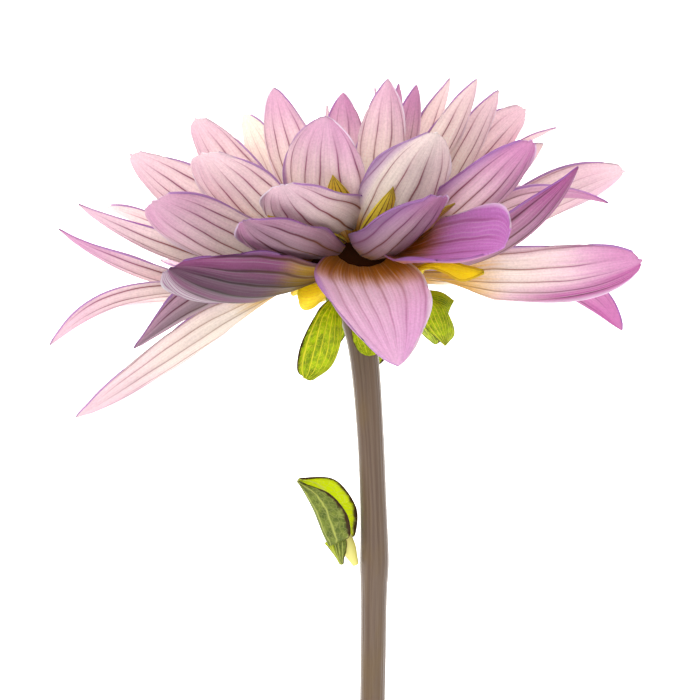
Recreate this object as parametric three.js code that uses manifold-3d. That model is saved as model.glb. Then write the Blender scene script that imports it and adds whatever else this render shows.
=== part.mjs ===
// A cut dahlia lying on its side: a double flower head on a long bare stem with one small leaf.
// Millimetres. +Z is up from the surface that the flower lies on, and +Y runs from the cut end of
// the stem to the flower head. The origin is on the surface, under the middle of the flower.

import * as THREE from "three";
import { mergeVertices } from "three/addons/utils/BufferGeometryUtils.js";
import Module from "manifold-3d";

const wasm = await Module();
wasm.setup();

// Place of the flower head
// The petals are set out round the middle of the flower head, with y along the flower's own axis
// and z towards the side that faces up. This is where that middle lies in the part's frame.
const HEAD_X = 2.64;
const HEAD_Y = 74.68;
const HEAD_HEIGHT = 50;

// Thickness of the blades
const PETAL_THICKNESS = 0.7;
const SCALE_THICKNESS = 0.8;
const BRACT_THICKNESS = 0.9;
const LEAF_THICKNESS = 0.9;

// Ray petals that face up, each named for its place in the flower.
// tip x, tip y, tip z, width, where it is widest (0 root, 1 tip), how pointed (1 sharp),
// sag near the root, sag near the tip, sideways bow, roll, twist, cupping, row (0 outermost)
const PETALS = [
  ["fall_front", 8.6, -22.7, 42, 24.5, 0.4, 0.72, 0, -6, -1.5, 0, 0, 0.4, 3],
  ["sweep_left", -38.2, -2.6, 45, 23, 0.55, 0.6, 5, 5, 0, -30, 4, 0.8, 0],
  ["sweep_right", 30.4, 1.8, 42, 22, 0.8, 0.55, 0, 0, 0, -38, 0, 1, 2],
  ["long_right", 62.3, 0.2, 8, 18, 0.66, 0.6, 1.5, 4.5, 0, 45, 0, 0.5, 0],
  ["long_left_low", -61.3, -34.1, 4, 15.5, 0.5, 0.85, -2.2, 0.8, 0, -30, 0, 0.6, 0],
  ["curl_left_low", -47.4, -19, 20, 17, 0.55, 0.9, -4, -3, 0, -32, 0, 0.9, 0],
  ["sickle_left", -67.4, -18.3, 0, 9, 0.6, 0.9, 2, -10, 0, -15, -20, 0.7, 0],
  ["tuck_left", -54.8, -9.6, -18, 12, 0.6, 0.8, 4, 0, 0, -5, 0, 0.5, 0],
  ["tuck_right", 59.9, -14.9, -14, 9.5, 0.74, 0.8, 0, -13, 0, 40, 0, 0.4, 0],
  ["spear_left", -65.8, 7.4, -4, 12, 0.6, 0.95, 7.5, 8, 0, -20, 0, 0.6, 0],
  ["spear_left_up", -60.5, 12.4, 6, 12, 0.55, 0.95, 6, 5, 0, -25, 0, 0.6, 1],
  ["fan_left", -56, 12.8, -14, 16, 0.62, 0.7, 4, 2, 0, -20, 0, 0.5, 1],
  ["boat_right", 46.9, 19.3, 26, 16.5, 0.55, 0.9, 8, 9, 0, 5, 0, 1.1, 1],
  ["droop_right", 55.2, 12.8, 4, 16, 0.5, 0.85, 0, -9, 0, 10, 0, 0.5, 1],
  ["fan_right", 60.2, 20.7, -10, 15.5, 0.68, 0.6, 1, -1, 0, 40, 0, 0.4, 1],
  ["spoon_left_low", -23.2, 7.2, 44, 16.5, 0.5, 0.7, 2, 3, 0, -20, 0, 0.8, 2],
  ["spoon_left", -15.4, 14.6, 43, 24, 0.28, 0.6, 0, 4, 0, -12, 0, 0.9, 4],
  ["lip_right", 17.4, 12.2, 44, 18.5, 0.25, 0.5, 4.5, 3, -1.5, 0, 0, 1.2, 2],
  ["wing_left_low", -43.2, 12.2, 25, 22, 0.66, 0.5, 6, 4, 0, -25, 0, 0.6, 2],
  ["wing_left", -32.4, 22, 30, 22.5, 0.6, 0.5, 6, 4, 0, -10, 0, 0.6, 3],
  ["wing_right", 36.9, 24.7, 30, 21, 0.55, 0.65, 6, 4, 0, 10, 0, 0.7, 3],
  ["crown_left", -6.2, 29.1, 36, 19.5, 0.6, 0.75, 6, 4, -2.5, 0, 0, 0.8, 3],
  ["crown_right", 16.7, 25.7, 38, 22, 0.5, 0.7, 6, 4, -1.5, 12, 0, 1.1, 3],
  ["rear_wing_left", -49.6, 23.7, 2, 20, 0.62, 0.65, 5, 5, 0, -35, 0, 0.7, 3],
  ["sail_left", -34.8, 30.8, 12, 15, 0.66, 0.55, 6, 4, 0, -28, 0, 0.6, 4],
  ["sail_left_high", -17.5, 36.5, 20, 14.5, 0.55, 0.75, 5, 3, -0.5, -8, 0, 0.6, 4],
  ["sail_centre", 6.8, 38.4, 20, 12, 0.6, 0.9, 5, 3, 0, 0, 0, 0.7, 4],
  ["sail_right", 26.1, 39.1, 12, 9.5, 0.6, 0.9, 3, 1, 0, 30, 0, 0.8, 4],
  ["sail_right_far", 31.2, 37.4, 4, 10.5, 0.62, 0.8, 5, 2, 0, 35, 0, 0.7, 3],
  ["tail_right", 37.9, 34.4, -8, 16, 0.7, 0.55, 3, 1, 0, 45, 0, 0.5, 4],
  ["hook_right", 45.1, 30.6, -14, 8, 0.6, 0.9, 2, -4, 0, 20, 0, 0.5, 2],
  ["ghost_right", 41.9, 26.7, -10, 16, 0.65, 0.8, 4, 2, 0, 40, 0, 0.6, 3],
  ["curl_far_left", -25, 33.3, -8, 15, 0.65, 0.7, 4, 3, 0, -50, 0, 0.6, 4],
  ["bud_left", -2.8, 36.5, 8, 10.5, 0.6, 0.8, 4, 2, 0, 0, 0, 0.7, 5],
  ["bud_back", 4.2, 38.3, 0, 9, 0.6, 0.8, 3, 2, 0, 0, 0, 0.7, 5],
  ["bud_mid", 9.4, 39, 2, 9, 0.6, 0.9, 3, 2, 0, 20, 0, 0.7, 5],
  ["bud_right", 13.2, 38.2, 8, 10, 0.6, 0.9, 3, 2, 0, 15, 0, 0.7, 5],
  ["bud_right_far", 20.9, 41, -6, 12, 0.6, 0.9, 3, 2, 0, 40, 0, 0.7, 5],
  ["bud_left_far", -6.4, 34.8, -4, 9, 0.6, 0.9, 3, 2, 0, -20, 0, 0.7, 5],
];

// The two petals that the flower head rests on, with their tips just through the surface
const REST_PETALS = [
  ["rest_left", -31, 19, -50.3, 19, 0.62, 0.7, 5, 4, 0, 0, 0, 0.6, 2],
  ["rest_right", 31, 21, -50.3, 19, 0.62, 0.7, 5, 4, 0, 0, 0, 0.6, 2],
];

// Ray petals on the side turned to the surface, in rings, azimuths in degrees from +x towards +z
// count, first azimuth, azimuth step, tip radius, tip y, width, row
const REAR_RINGS = [
  [5, 212, 29, 56, 3, 18, 0],
  [5, 213, 31, 49, 11, 17, 1],
  [3, 206, 64, 43, 20, 17, 2],
  [5, 209, 31, 33, 28, 15, 3],
  [5, 219, 29, 22, 32, 12, 4],
];
const REAR_LOWEST = -49; // no tip of these rings goes lower than this z

// Small incurved petals that close the middle, on a spiral
const CENTRE_COUNT = 9;
const CENTRE_TURN = 137.5;

// Golden scales that stand between the petals: tip x, tip y, tip z, width, sag
const SCALES = [
  [-4.9, 17.3, 31, 8, 1],
  [7.7, 14.8, 31.5, 7.5, 3],
  [20.9, 11.6, 26, 8, 1],
  [4.7, 3.9, 24, 3.5, 0],
  [-10.4, 5.8, 27.5, 6, 0],
  [-18.6, 8.8, 30, 6, 0],
  [27.5, 14.1, 20, 6, 0],
];
const SCALE_ROOT = [6.5, 2.6]; // distance from the axis and y

// Roots of the rows of petals on the core: distance from the axis and y
const ROOTS = [
  [8, -2.6],
  [7.5, -1.3],
  [6.5, 0.6],
  [5.2, 2],
  [4, 3],
  [2.5, 4],
];

// Core of the flower head, which the roots of the petals are sunk in: radius, y
const CORE = [
  [9.4, -3.7],
  [11.6, -2],
  [12.4, 1],
  [11.4, 5],
  [8.6, 9],
  [4.5, 11.5],
];

// Yellow inner bracts: tip x, tip y, tip z, width, sag near the root, sag near the tip, roll
const INNER_DISC = { radius: 7.4, bottom: -5.8, top: -4.1 };
const INNER_ROOT = [6.2, -5.05];
const INNER_BRACTS = [
  [14.2, -2.2, 13.5, 6, 1, 1, 0],
  [-14, -7.2, -6.5, 7, 0, -0.5, 0],
  [-11, -9, -17, 7, 0.5, 0.5, 0],
  [2, -9, -21, 7, 0.5, 0.5, 0],
  [18, -9, -13, 7, 0.5, 0.5, 0],
];

// Green outer bracts, in the same columns
const OUTER_DISC = { radius: 6.6, bottom: -8.9, top: -6.45 };
const OUTER_ROOT = [6, -7.6];
const OUTER_BRACTS = [
  [2.8, -20.6, 11.5, 8, -2.5, -1, 0],
  [-6, -19, -16, 9, -2, -2, 0],
  [4, -23, -18, 9, -2, -2, 0],
  [18, -18, -14, 9, -2, -2, 0],
];

// Bracts that fold along their middle: points from the root to the tip along the near rim, the
// fold and the far rim
const FOLDED_INNER = {
  left: [
    [[-3.2, -5.4, 4.4], [-6.5, -7.6, 9], [-9.4, -10.2, 12], [-11.6, -10.4, 13], [-12.4, -8, 13]],
    [[-3.6, -5, 5], [-6.2, -6.2, 11], [-8.6, -7.6, 14.4], [-11, -8.2, 15], [-12.5, -7.2, 13.4]],
    [[-3.8, -4.9, 4], [-5.6, -4.6, 8], [-7.6, -5, 10], [-10.6, -5.6, 11], [-12.4, -6.4, 13]],
  ],
  right: [
    [
      [5, -5.2, 3.4], [7.8, -4.8, 7.4], [10.8, -3.7, 12], [15.2, -1.8, 17.6], [19, -2.9, 20],
      [22.6, -4.6, 20], [27.3, -3, 17],
    ],
    [
      [5, -5, 2.6], [7.8, -4.8, 5.8], [11, -3.3, 9.4], [16, -1.6, 14], [20, -2.2, 16],
      [24, -3, 16.6], [27.5, -2.7, 16.8],
    ],
    [
      [4.6, -4.9, 2], [7.8, -4.7, 5], [11.2, -2.4, 9.2], [15.5, -0.7, 14], [19.6, -0.3, 16.4],
      [23.6, -1.4, 17], [27.2, -2.3, 17],
    ],
  ],
};
const FOLDED_OUTER = {
  left: [
    [
      [-3.9, -7.4, 4], [-6.8, -9.4, 8.6], [-9.6, -13.4, 10], [-12, -18.6, 10.5],
      [-12.7, -23.6, 11], [-11.2, -25.4, 11.8],
    ],
    [
      [-2.8, -7.6, 5], [-4.2, -10.6, 9.5], [-4.5, -13.6, 12], [-4.9, -18.4, 13],
      [-6.6, -23, 12.8], [-10.2, -25.9, 12],
    ],
    [
      [-2.6, -7.8, 4.2], [-3.4, -10.8, 8.2], [-3.3, -13.9, 10.2], [-4.1, -18.6, 11.4],
      [-6, -23, 11.9], [-9, -25.5, 12],
    ],
  ],
  right_low: [
    [
      [5.4, -7.9, 3], [11, -9, 8], [14, -11.4, 10.4], [15.2, -14.5, 10.5], [17.5, -16.8, 9.8],
      [19.4, -18.3, 8.6],
    ],
    [
      [5.6, -7.5, 3.4], [12, -7.8, 9.5], [17, -9.4, 12], [18.7, -12.2, 12.2], [19.5, -15.4, 11],
      [19.5, -18.2, 8.6],
    ],
    [
      [5.9, -7.5, 2.4], [12.6, -7.6, 7.8], [18, -9.6, 9.4], [20.6, -13.2, 9.2], [21.2, -16, 8.8],
      [20, -17.6, 8.4],
    ],
  ],
  right_high: [
    [[5.6, -7.3, 1], [10.5, -6.8, 4.6], [15.6, -6.5, 6.4], [18.7, -7, 7], [21.4, -8.7, 6.6]],
    [[5.8, -7.7, 1.2], [11, -7.6, 5.6], [15.9, -7.9, 7.6], [18.9, -8.7, 7.8], [20.6, -10, 6.6]],
    [[6, -7.9, 1], [11.2, -8.6, 5], [16, -9.5, 6.6], [18.6, -10.7, 6.4], [20.1, -11.5, 5.6]],
  ],
};

// Stem: x, y, z of its middle line, and its radius
const STEM = [
  [0.3, -9.25, 0, 4.3],
  [0.32, -10.8, 0, 4.1],
  [0.7, -13.5, -0.1, 3.7],
  [1.5, -18, -0.6, 3.3],
  [2.4, -26, -2, 3.1],
  [3.4, -40, -5.4, 2.95],
  [4, -55, -10.2, 2.95],
  [4.2, -64.5, -13.5, 3.25],
  [4.2, -68.5, -14.9, 3.3],
  [4.1, -74, -16.8, 2.95],
  [4, -90, -22.4, 2.9],
  [3.7, -110, -28.8, 2.9],
  [3, -135, -36, 2.9],
  [1.9, -162, -42.6, 2.9],
  [0.6, -190, -47.45, 2.9],
];
const ROD_SIDES = 12;

// Leaf at the joint of the stem: its folded blade and lobe, and the stations of its stalk
const FOLDED_LEAF = {
  blade: [
    [
      [-2.4, -61.6, -8.6], [-1.2, -60.2, -6.8], [-2.2, -55.6, -6], [-6.2, -51.2, -6.6],
      [-12.6, -48.9, -9],
    ],
    [
      [-5.8, -63.2, -9.6], [-7.2, -60.4, -9.5], [-9.2, -55.2, -9.5], [-11.4, -51, -9.3],
      [-13, -48.6, -9],
    ],
    [
      [-1.9, -62, -12.4], [-0.1, -60.6, -13], [0, -54.6, -13.2], [-4.8, -48.4, -12],
      [-12.5, -48.1, -9.2],
    ],
  ],
  lobe: [
    [
      [-2.6, -61, -9.4], [-2, -62.6, -9.2], [-2.2, -64.4, -9.4], [-2.6, -66, -10],
      [-2.9, -67.2, -10.6],
    ],
    [
      [-4.9, -61.6, -9.4], [-4.6, -63, -9], [-4.2, -64.6, -9.2], [-3.7, -66, -9.8],
      [-3.2, -67.4, -10.4],
    ],
    [
      [-6.9, -62.6, -10.4], [-6, -63.6, -10.2], [-5, -64.8, -10.2], [-4.1, -66.1, -10.4],
      [-3.6, -67.1, -10.7],
    ],
  ],
};
const LEAF_STALK = [
  [0, -67.6, -13, 0.7],
  [-0.9, -65.6, -12.4, 1.3],
  [-1.8, -63.4, -11.6, 1.9],
  [-2.8, -60.6, -10.8, 1.6],
];

// Colours, in the photograph's light
const PETAL_COLOUR = 0xd9b3bd;
const INNER_BRACT_COLOUR = 0xe3c811;
const OUTER_BRACT_COLOUR = 0x9aa81c;
const STEM_COLOUR = 0x8a7563;
const LEAF_COLOUR = 0x8f9a3a;

// A small steady variation for petal number k, between -reach and reach
function vary(k, reach) {
  const wave = Math.sin(k * 12.9898) * 43758.5453;
  return reach * (2 * (wave - Math.floor(wave)) - 1);
}

function degrees(angle) {
  return (angle * Math.PI) / 180;
}

// Every ray petal of the flower head, in the columns of PETALS
function allPetals() {
  const rows = PETALS.concat(REST_PETALS);
  REAR_RINGS.forEach((ring, r) => {
    const [count, first, step, radius, height, width, row] = ring;
    for (let i = 0; i < count; i += 1) {
      const k = 10 * r + i + 1;
      const azimuth = degrees(first + step * i + vary(k, 4));
      const reach = Math.min(radius + vary(k + 50, 1.5), REAR_LOWEST / Math.sin(azimuth));
      const x = reach * Math.cos(azimuth);
      const z = reach * Math.sin(azimuth);
      const y = height + vary(k + 90, 2);
      rows.push(["rear", x, y, z, width, 0.62, 0.7, 5, 4, 0, 0, 0, 0.6, row]);
    }
  });
  for (let i = 0; i < CENTRE_COUNT; i += 1) {
    const azimuth = degrees(40 + CENTRE_TURN * i);
    const reach = 1.5 + 0.7 * i;
    const x = reach * Math.cos(azimuth);
    const z = reach * Math.sin(azimuth);
    const y = 25 + 0.8 * i;
    rows.push(["centre", x, y, z, 7 + 0.3 * i, 0.6, 0.7, 3, 4, 0, 0, 0, 0.9, 5]);
  }
  return rows;
}

// The middle line of a blade from its root to its tip, which sags off the straight line
function bladeLine(root, tip, across, sagRoot, sagTip, bow) {
  const chord = tip.clone().sub(root);
  const face = chord.clone().cross(across).normalize();
  const first = root.clone().addScaledVector(chord, 1 / 3);
  const second = root.clone().addScaledVector(chord, 2 / 3);
  first.addScaledVector(face, (-4 / 3) * sagRoot).addScaledVector(across, (4 / 3) * bow);
  second.addScaledVector(face, (-4 / 3) * sagTip).addScaledVector(across, (4 / 3) * bow);
  return new THREE.CubicBezierCurve3(root, first, second, tip);
}

// Half of the blade's width at u, for a blade that is narrow at its root
function halfWidth(blade, u) {
  const rise = Math.sin((Math.PI / 2) * Math.min(1, u / blade.widest));
  const grow = blade.neck + (1 - blade.neck) * Math.pow(rise, 1.3);
  const past = Math.max(0, (u - blade.widest) / (1 - blade.widest));
  const close = Math.pow(Math.max(0, 1 - Math.pow(past, 2.2)), blade.point);
  return Math.max((blade.width / 2) * grow * close, 0.45);
}

// A blade as one closed mesh: a cupped, rolled strip with the same triangles on both faces
function bladeGeometry(blade, stations, columns) {
  const { root, tip, across, sagRoot, sagTip, bow } = blade;
  const line = bladeLine(root, tip, across, sagRoot, sagTip, bow);
  const upper = [];
  const lower = [];
  for (const u of stations) {
    const middle = line.getPoint(u);
    const along = line.getTangent(u);
    const face = along.clone().cross(blade.across).normalize();
    const side = face.clone().cross(along);
    const turn = blade.roll * Math.min(1, u / 0.4) + (blade.twist * Math.max(0, u - 0.3)) / 0.7;
    const cos = Math.cos(degrees(turn));
    const sin = Math.sin(degrees(turn));
    const out = face.clone().multiplyScalar(cos).addScaledVector(side, sin);
    const wide = side.clone().multiplyScalar(cos).addScaledVector(face, -sin);
    const half = halfWidth(blade, u);
    const rootCup = blade.rootCup * Math.pow(Math.max(0, 1 - u / 0.35), 1.5);
    const cup = blade.cup * (0.75 + 0.25 * Math.sin(Math.PI * u)) + rootCup;
    for (let c = 0; c <= columns; c += 1) {
      const angle = cup * ((2 * c) / columns - 1);
      const shift = (half * Math.sin(angle)) / cup;
      const lift = (half * (1 - Math.cos(angle))) / cup;
      const point = middle.clone().addScaledVector(wide, shift).addScaledVector(out, lift);
      const normal = out
        .clone()
        .multiplyScalar(Math.cos(angle))
        .addScaledVector(wide, -Math.sin(angle));
      upper.push(point.clone().addScaledVector(normal, blade.thickness / 2));
      lower.push(point.clone().addScaledVector(normal, -blade.thickness / 2));
    }
  }
  return closedSheet(upper, lower, stations.length, columns + 1);
}

// A leaf that folds along its middle, as one closed mesh: across each station it runs in an arc
// from the near rim over the fold to the far rim
function foldedGeometry(edges, stations, columns, thickness) {
  const lines = edges.map((points) => {
    const places = points.map((place) => new THREE.Vector3(...place));
    return new THREE.CatmullRomCurve3(places, false, "catmullrom", 0.5);
  });
  const at = (u, share) => {
    const [near, fold, far] = lines.map((line) => line.getPoint(u));
    const pull = fold.clone().multiplyScalar(2).addScaledVector(near, -0.5);
    pull.addScaledVector(far, -0.5);
    near.multiplyScalar((1 - share) ** 2).addScaledVector(pull, 2 * share * (1 - share));
    return near.addScaledVector(far, share ** 2);
  };
  const step = 0.01;
  const upper = [];
  const lower = [];
  for (const u of stations) {
    for (let c = 0; c <= columns; c += 1) {
      const share = c / columns;
      const from = Math.max(0, u - step);
      const along = at(Math.min(1, u + step), share).sub(at(from, share));
      const across = at(u, Math.min(1, share + step)).sub(at(u, Math.max(0, share - step)));
      const normal = along.cross(across).normalize();
      const point = at(u, share);
      upper.push(point.clone().addScaledVector(normal, thickness / 2));
      lower.push(point.clone().addScaledVector(normal, -thickness / 2));
    }
  }
  return closedSheet(upper, lower, stations.length, columns + 1);
}

// Joins an upper and a lower grid of points into one closed mesh
function closedSheet(upper, lower, rows, width) {
  const positions = [];
  for (const point of upper.concat(lower)) {
    positions.push(point.x, point.y, point.z);
  }
  const under = upper.length;
  const index = [];
  const at = (r, c) => r * width + c;
  for (let r = 0; r + 1 < rows; r += 1) {
    for (let c = 0; c + 1 < width; c += 1) {
      const a = at(r, c);
      const b = at(r, c + 1);
      const d = at(r + 1, c);
      const e = at(r + 1, c + 1);
      index.push(a, b, e, a, e, d);
      index.push(under + a, under + e, under + b, under + a, under + d, under + e);
    }
  }
  const rim = [];
  for (let c = 0; c + 1 < width; c += 1) rim.push([at(0, c), at(0, c + 1)]);
  for (let r = 0; r + 1 < rows; r += 1) rim.push([at(r, width - 1), at(r + 1, width - 1)]);
  for (let c = width - 1; c > 0; c -= 1) rim.push([at(rows - 1, c), at(rows - 1, c - 1)]);
  for (let r = rows - 1; r > 0; r -= 1) rim.push([at(r, 0), at(r - 1, 0)]);
  for (const [a, b] of rim) {
    index.push(a, under + a, under + b, a, under + b, b);
  }
  const geometry = new THREE.BufferGeometry();
  geometry.setAttribute("position", new THREE.Float32BufferAttribute(positions, 3));
  geometry.setIndex(index);
  return geometry;
}

// A closed geometry as a solid, turned right side out
function solidOf(geometry) {
  const bare = geometry.clone();
  bare.deleteAttribute("normal");
  bare.deleteAttribute("uv");
  const merged = mergeVertices(bare, 1e-4);
  const vertProperties = new Float32Array(merged.getAttribute("position").array);
  const triVerts = new Uint32Array(merged.index.array);
  const mesh = { numProp: 3, vertProperties, triVerts };
  let solid = new wasm.Manifold(new wasm.Mesh(mesh));
  if (solid.volume() < 0) {
    triVerts.reverse();
    solid = new wasm.Manifold(new wasm.Mesh(mesh));
  }
  return solid;
}

function geometryOf(solid) {
  const mesh = solid.getMesh();
  const positions = [];
  for (let i = 0; i < mesh.numVert; i += 1) {
    positions.push(...mesh.vertProperties.subarray(i * mesh.numProp, i * mesh.numProp + 3));
  }
  const geometry = new THREE.BufferGeometry();
  geometry.setAttribute("position", new THREE.Float32BufferAttribute(positions, 3));
  geometry.setIndex([...mesh.triVerts]);
  return geometry;
}

// Shades each triangle flat, as the facets of the solid are
function shaded(geometry) {
  const flat = geometry.toNonIndexed();
  flat.computeVertexNormals();
  return flat;
}

// The unit vector that points away from the flower's axis, towards a point
function outward(x, z) {
  return new THREE.Vector3(x, 0, z).normalize();
}

function petalBlade(row) {
  const [, x, y, z, width, widest, point, sagRoot, sagTip, bow, roll, twist, cup, tier] = row;
  const out = outward(x, z);
  const [rootRadius, rootHeight] = ROOTS[tier];
  const root = out.clone().multiplyScalar(rootRadius);
  root.y = rootHeight;
  const across = new THREE.Vector3(0, 1, 0).cross(out);
  const tip = new THREE.Vector3(x, y, z);
  const blade = { root, tip, across, sagRoot, sagTip, bow, width, widest, point };
  return { ...blade, roll, twist, cup, rootCup: 0.9, neck: 0.4, thickness: PETAL_THICKNESS };
}

function scaleBlade(row) {
  const [x, y, z, width, sag] = row;
  const out = outward(x, z);
  const root = out.clone().multiplyScalar(SCALE_ROOT[0]);
  root.y = SCALE_ROOT[1];
  const across = new THREE.Vector3(0, 1, 0).cross(out);
  const tip = new THREE.Vector3(x, y, z);
  const blade = { root, tip, across, sagRoot: sag, sagTip: 0.6 * sag, bow: 0, width };
  const form = { widest: 0.4, point: 1.1, roll: 0, twist: 0, cup: 0.8, rootCup: 0, neck: 0.6 };
  return { ...blade, ...form, thickness: SCALE_THICKNESS };
}

function bractBlade(row, base) {
  const [x, y, z, width, sagRoot, sagTip, roll] = row;
  const out = outward(x, z);
  const root = out.clone().multiplyScalar(base[0]);
  root.y = base[1];
  const across = new THREE.Vector3(0, 1, 0).cross(out);
  const tip = new THREE.Vector3(x, y, z);
  const blade = { root, tip, across, sagRoot, sagTip, bow: 0, width, widest: 0.62 };
  const form = { point: 0.55, roll, twist: 0, cup: 0.5, rootCup: 0, neck: 0.5 };
  return { ...blade, ...form, thickness: BRACT_THICKNESS };
}

// A solid turned on the flower's axis, from pairs of radius and y
function turned(profile, sides) {
  const points = profile.map(([radius, y]) => new THREE.Vector2(radius, y));
  points.unshift(new THREE.Vector2(0, profile[0][1]));
  points.push(new THREE.Vector2(0, profile[profile.length - 1][1] + 0.3));
  return solidOf(new THREE.LatheGeometry(points, sides));
}

function disc(size) {
  const points = [
    new THREE.Vector2(0, size.bottom),
    new THREE.Vector2(size.radius, size.bottom),
    new THREE.Vector2(size.radius, size.top),
    new THREE.Vector2(0, size.top),
  ];
  return solidOf(new THREE.LatheGeometry(points, 24));
}

// Cuts away what is below the surface that the flower lies on
function cutAtSurface(solid) {
  const block = new THREE.BoxGeometry(400, 600, 40);
  block.translate(0, 0, -HEAD_HEIGHT - 20);
  return solid.subtract(solidOf(block));
}

// Closes the small sealed pockets between the petals: keeps the outer shell of a solid and leaves
// out every shell that isn't joined to it
function outerShell(geometry) {
  const index = geometry.index.array;
  const parent = [];
  for (let i = 0; i < geometry.getAttribute("position").count; i += 1) parent.push(i);
  const find = (i) => {
    let at = i;
    while (parent[at] !== at) {
      parent[at] = parent[parent[at]];
      at = parent[at];
    }
    return at;
  };
  for (let i = 0; i < index.length; i += 3) {
    parent[find(index[i])] = find(index[i + 1]);
    parent[find(index[i + 1])] = find(index[i + 2]);
  }
  const count = new Map();
  for (const i of index) count.set(find(i), (count.get(find(i)) || 0) + 1);
  const [largest] = [...count].sort((a, b) => b[1] - a[1])[0];
  const kept = [];
  for (let i = 0; i < index.length; i += 3) {
    if (find(index[i]) === largest) kept.push(index[i], index[i + 1], index[i + 2]);
  }
  geometry.setIndex(kept);
  return geometry;
}

function bloomGeometry() {
  let solid = turned(CORE, 20);
  const fine = [0, 0.25, 0.5, 0.72, 0.9, 1];
  const plain = [0, 0.3, 0.6, 0.85, 1];
  for (const row of allPetals()) {
    const named = row[0] !== "rear" && row[0] !== "centre";
    const broad = named && row[4] > 16;
    const stations = named && !row[0].startsWith("bud") ? fine : plain;
    const geometry = bladeGeometry(petalBlade(row), stations, broad ? 3 : 2);
    solid = solid.add(solidOf(geometry));
  }
  for (const row of SCALES) {
    solid = solid.add(solidOf(bladeGeometry(scaleBlade(row), [0, 0.5, 0.8, 1], 2)));
  }
  return outerShell(geometryOf(cutAtSurface(solid)));
}

function bractGeometry(size, base, rows, folded) {
  const stations = [0, 0.22, 0.45, 0.68, 0.88, 1];
  let solid = disc(size);
  for (const row of rows) {
    solid = solid.add(solidOf(bladeGeometry(bractBlade(row, base), stations, 4)));
  }
  for (const edges of Object.values(folded)) {
    const geometry = foldedGeometry(edges, stations, 6, BRACT_THICKNESS);
    solid = solid.add(solidOf(geometry));
  }
  return geometryOf(solid);
}

// A round rod with closed ends: rings of points square to its middle line
function rodGeometry(stations) {
  const centres = stations.map(([x, y, z]) => new THREE.Vector3(x, y, z));
  const positions = [];
  const index = [];
  stations.forEach(([, , , radius], i) => {
    const before = centres[Math.max(0, i - 1)];
    const after = centres[Math.min(centres.length - 1, i + 1)];
    const along = after.clone().sub(before).normalize();
    const side = new THREE.Vector3(0, 0, 1).cross(along).normalize();
    const up = along.clone().cross(side);
    for (let s = 0; s < ROD_SIDES; s += 1) {
      const angle = (2 * Math.PI * (s + 0.5)) / ROD_SIDES;
      const point = centres[i].clone();
      point.addScaledVector(side, radius * Math.cos(angle));
      point.addScaledVector(up, radius * Math.sin(angle));
      positions.push(point.x, point.y, point.z);
    }
  });
  const last = stations.length - 1;
  for (let i = 0; i < last; i += 1) {
    for (let s = 0; s < ROD_SIDES; s += 1) {
      const t = (s + 1) % ROD_SIDES;
      const a = i * ROD_SIDES;
      const b = a + ROD_SIDES;
      index.push(a + s, a + t, b + t, a + s, b + t, b + s);
    }
  }
  for (let s = 1; s + 1 < ROD_SIDES; s += 1) {
    index.push(0, s + 1, s);
    index.push(last * ROD_SIDES, last * ROD_SIDES + s, last * ROD_SIDES + s + 1);
  }
  const geometry = new THREE.BufferGeometry();
  geometry.setAttribute("position", new THREE.Float32BufferAttribute(positions, 3));
  geometry.setIndex(index);
  return geometry;
}

function leafGeometry() {
  const stations = [0, 0.2, 0.4, 0.6, 0.8, 0.92, 1];
  let solid = solidOf(rodGeometry(LEAF_STALK));
  for (const edges of Object.values(FOLDED_LEAF)) {
    solid = solid.add(solidOf(foldedGeometry(edges, stations, 6, LEAF_THICKNESS)));
  }
  return geometryOf(solid);
}

function makeMesh(name, geometry, colour, roughness) {
  const material = new THREE.MeshStandardMaterial({ color: colour, roughness, metalness: 0 });
  const mesh = new THREE.Mesh(shaded(geometry), material);
  mesh.name = name;
  return mesh;
}

function bloom() {
  return makeMesh("bloom", bloomGeometry(), PETAL_COLOUR, 0.6);
}

function innerBracts() {
  const geometry = bractGeometry(INNER_DISC, INNER_ROOT, INNER_BRACTS, FOLDED_INNER);
  return makeMesh("inner_bracts", geometry, INNER_BRACT_COLOUR, 0.5);
}

function outerBracts() {
  const geometry = bractGeometry(OUTER_DISC, OUTER_ROOT, OUTER_BRACTS, FOLDED_OUTER);
  return makeMesh("outer_bracts", geometry, OUTER_BRACT_COLOUR, 0.5);
}

function stem() {
  const rod = solidOf(rodGeometry(STEM));
  return makeMesh("stem", geometryOf(cutAtSurface(rod)), STEM_COLOUR, 0.6);
}

function stemLeaf() {
  return makeMesh("stem_leaf", leafGeometry(), LEAF_COLOUR, 0.55);
}

const group = new THREE.Group();
const head = new THREE.Group();
head.position.set(HEAD_X, HEAD_Y, HEAD_HEIGHT);
head.add(bloom(), innerBracts(), outerBracts(), stem(), stemLeaf());
group.add(head);

export default group;
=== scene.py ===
"""Looks of a cut dahlia that lies on its side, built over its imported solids.

Lengths in the tables are millimetres round the middle of the flower head, with y along the
flower's own axis and z towards the side that faces up.
"""

import functools
import math
import random

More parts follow.
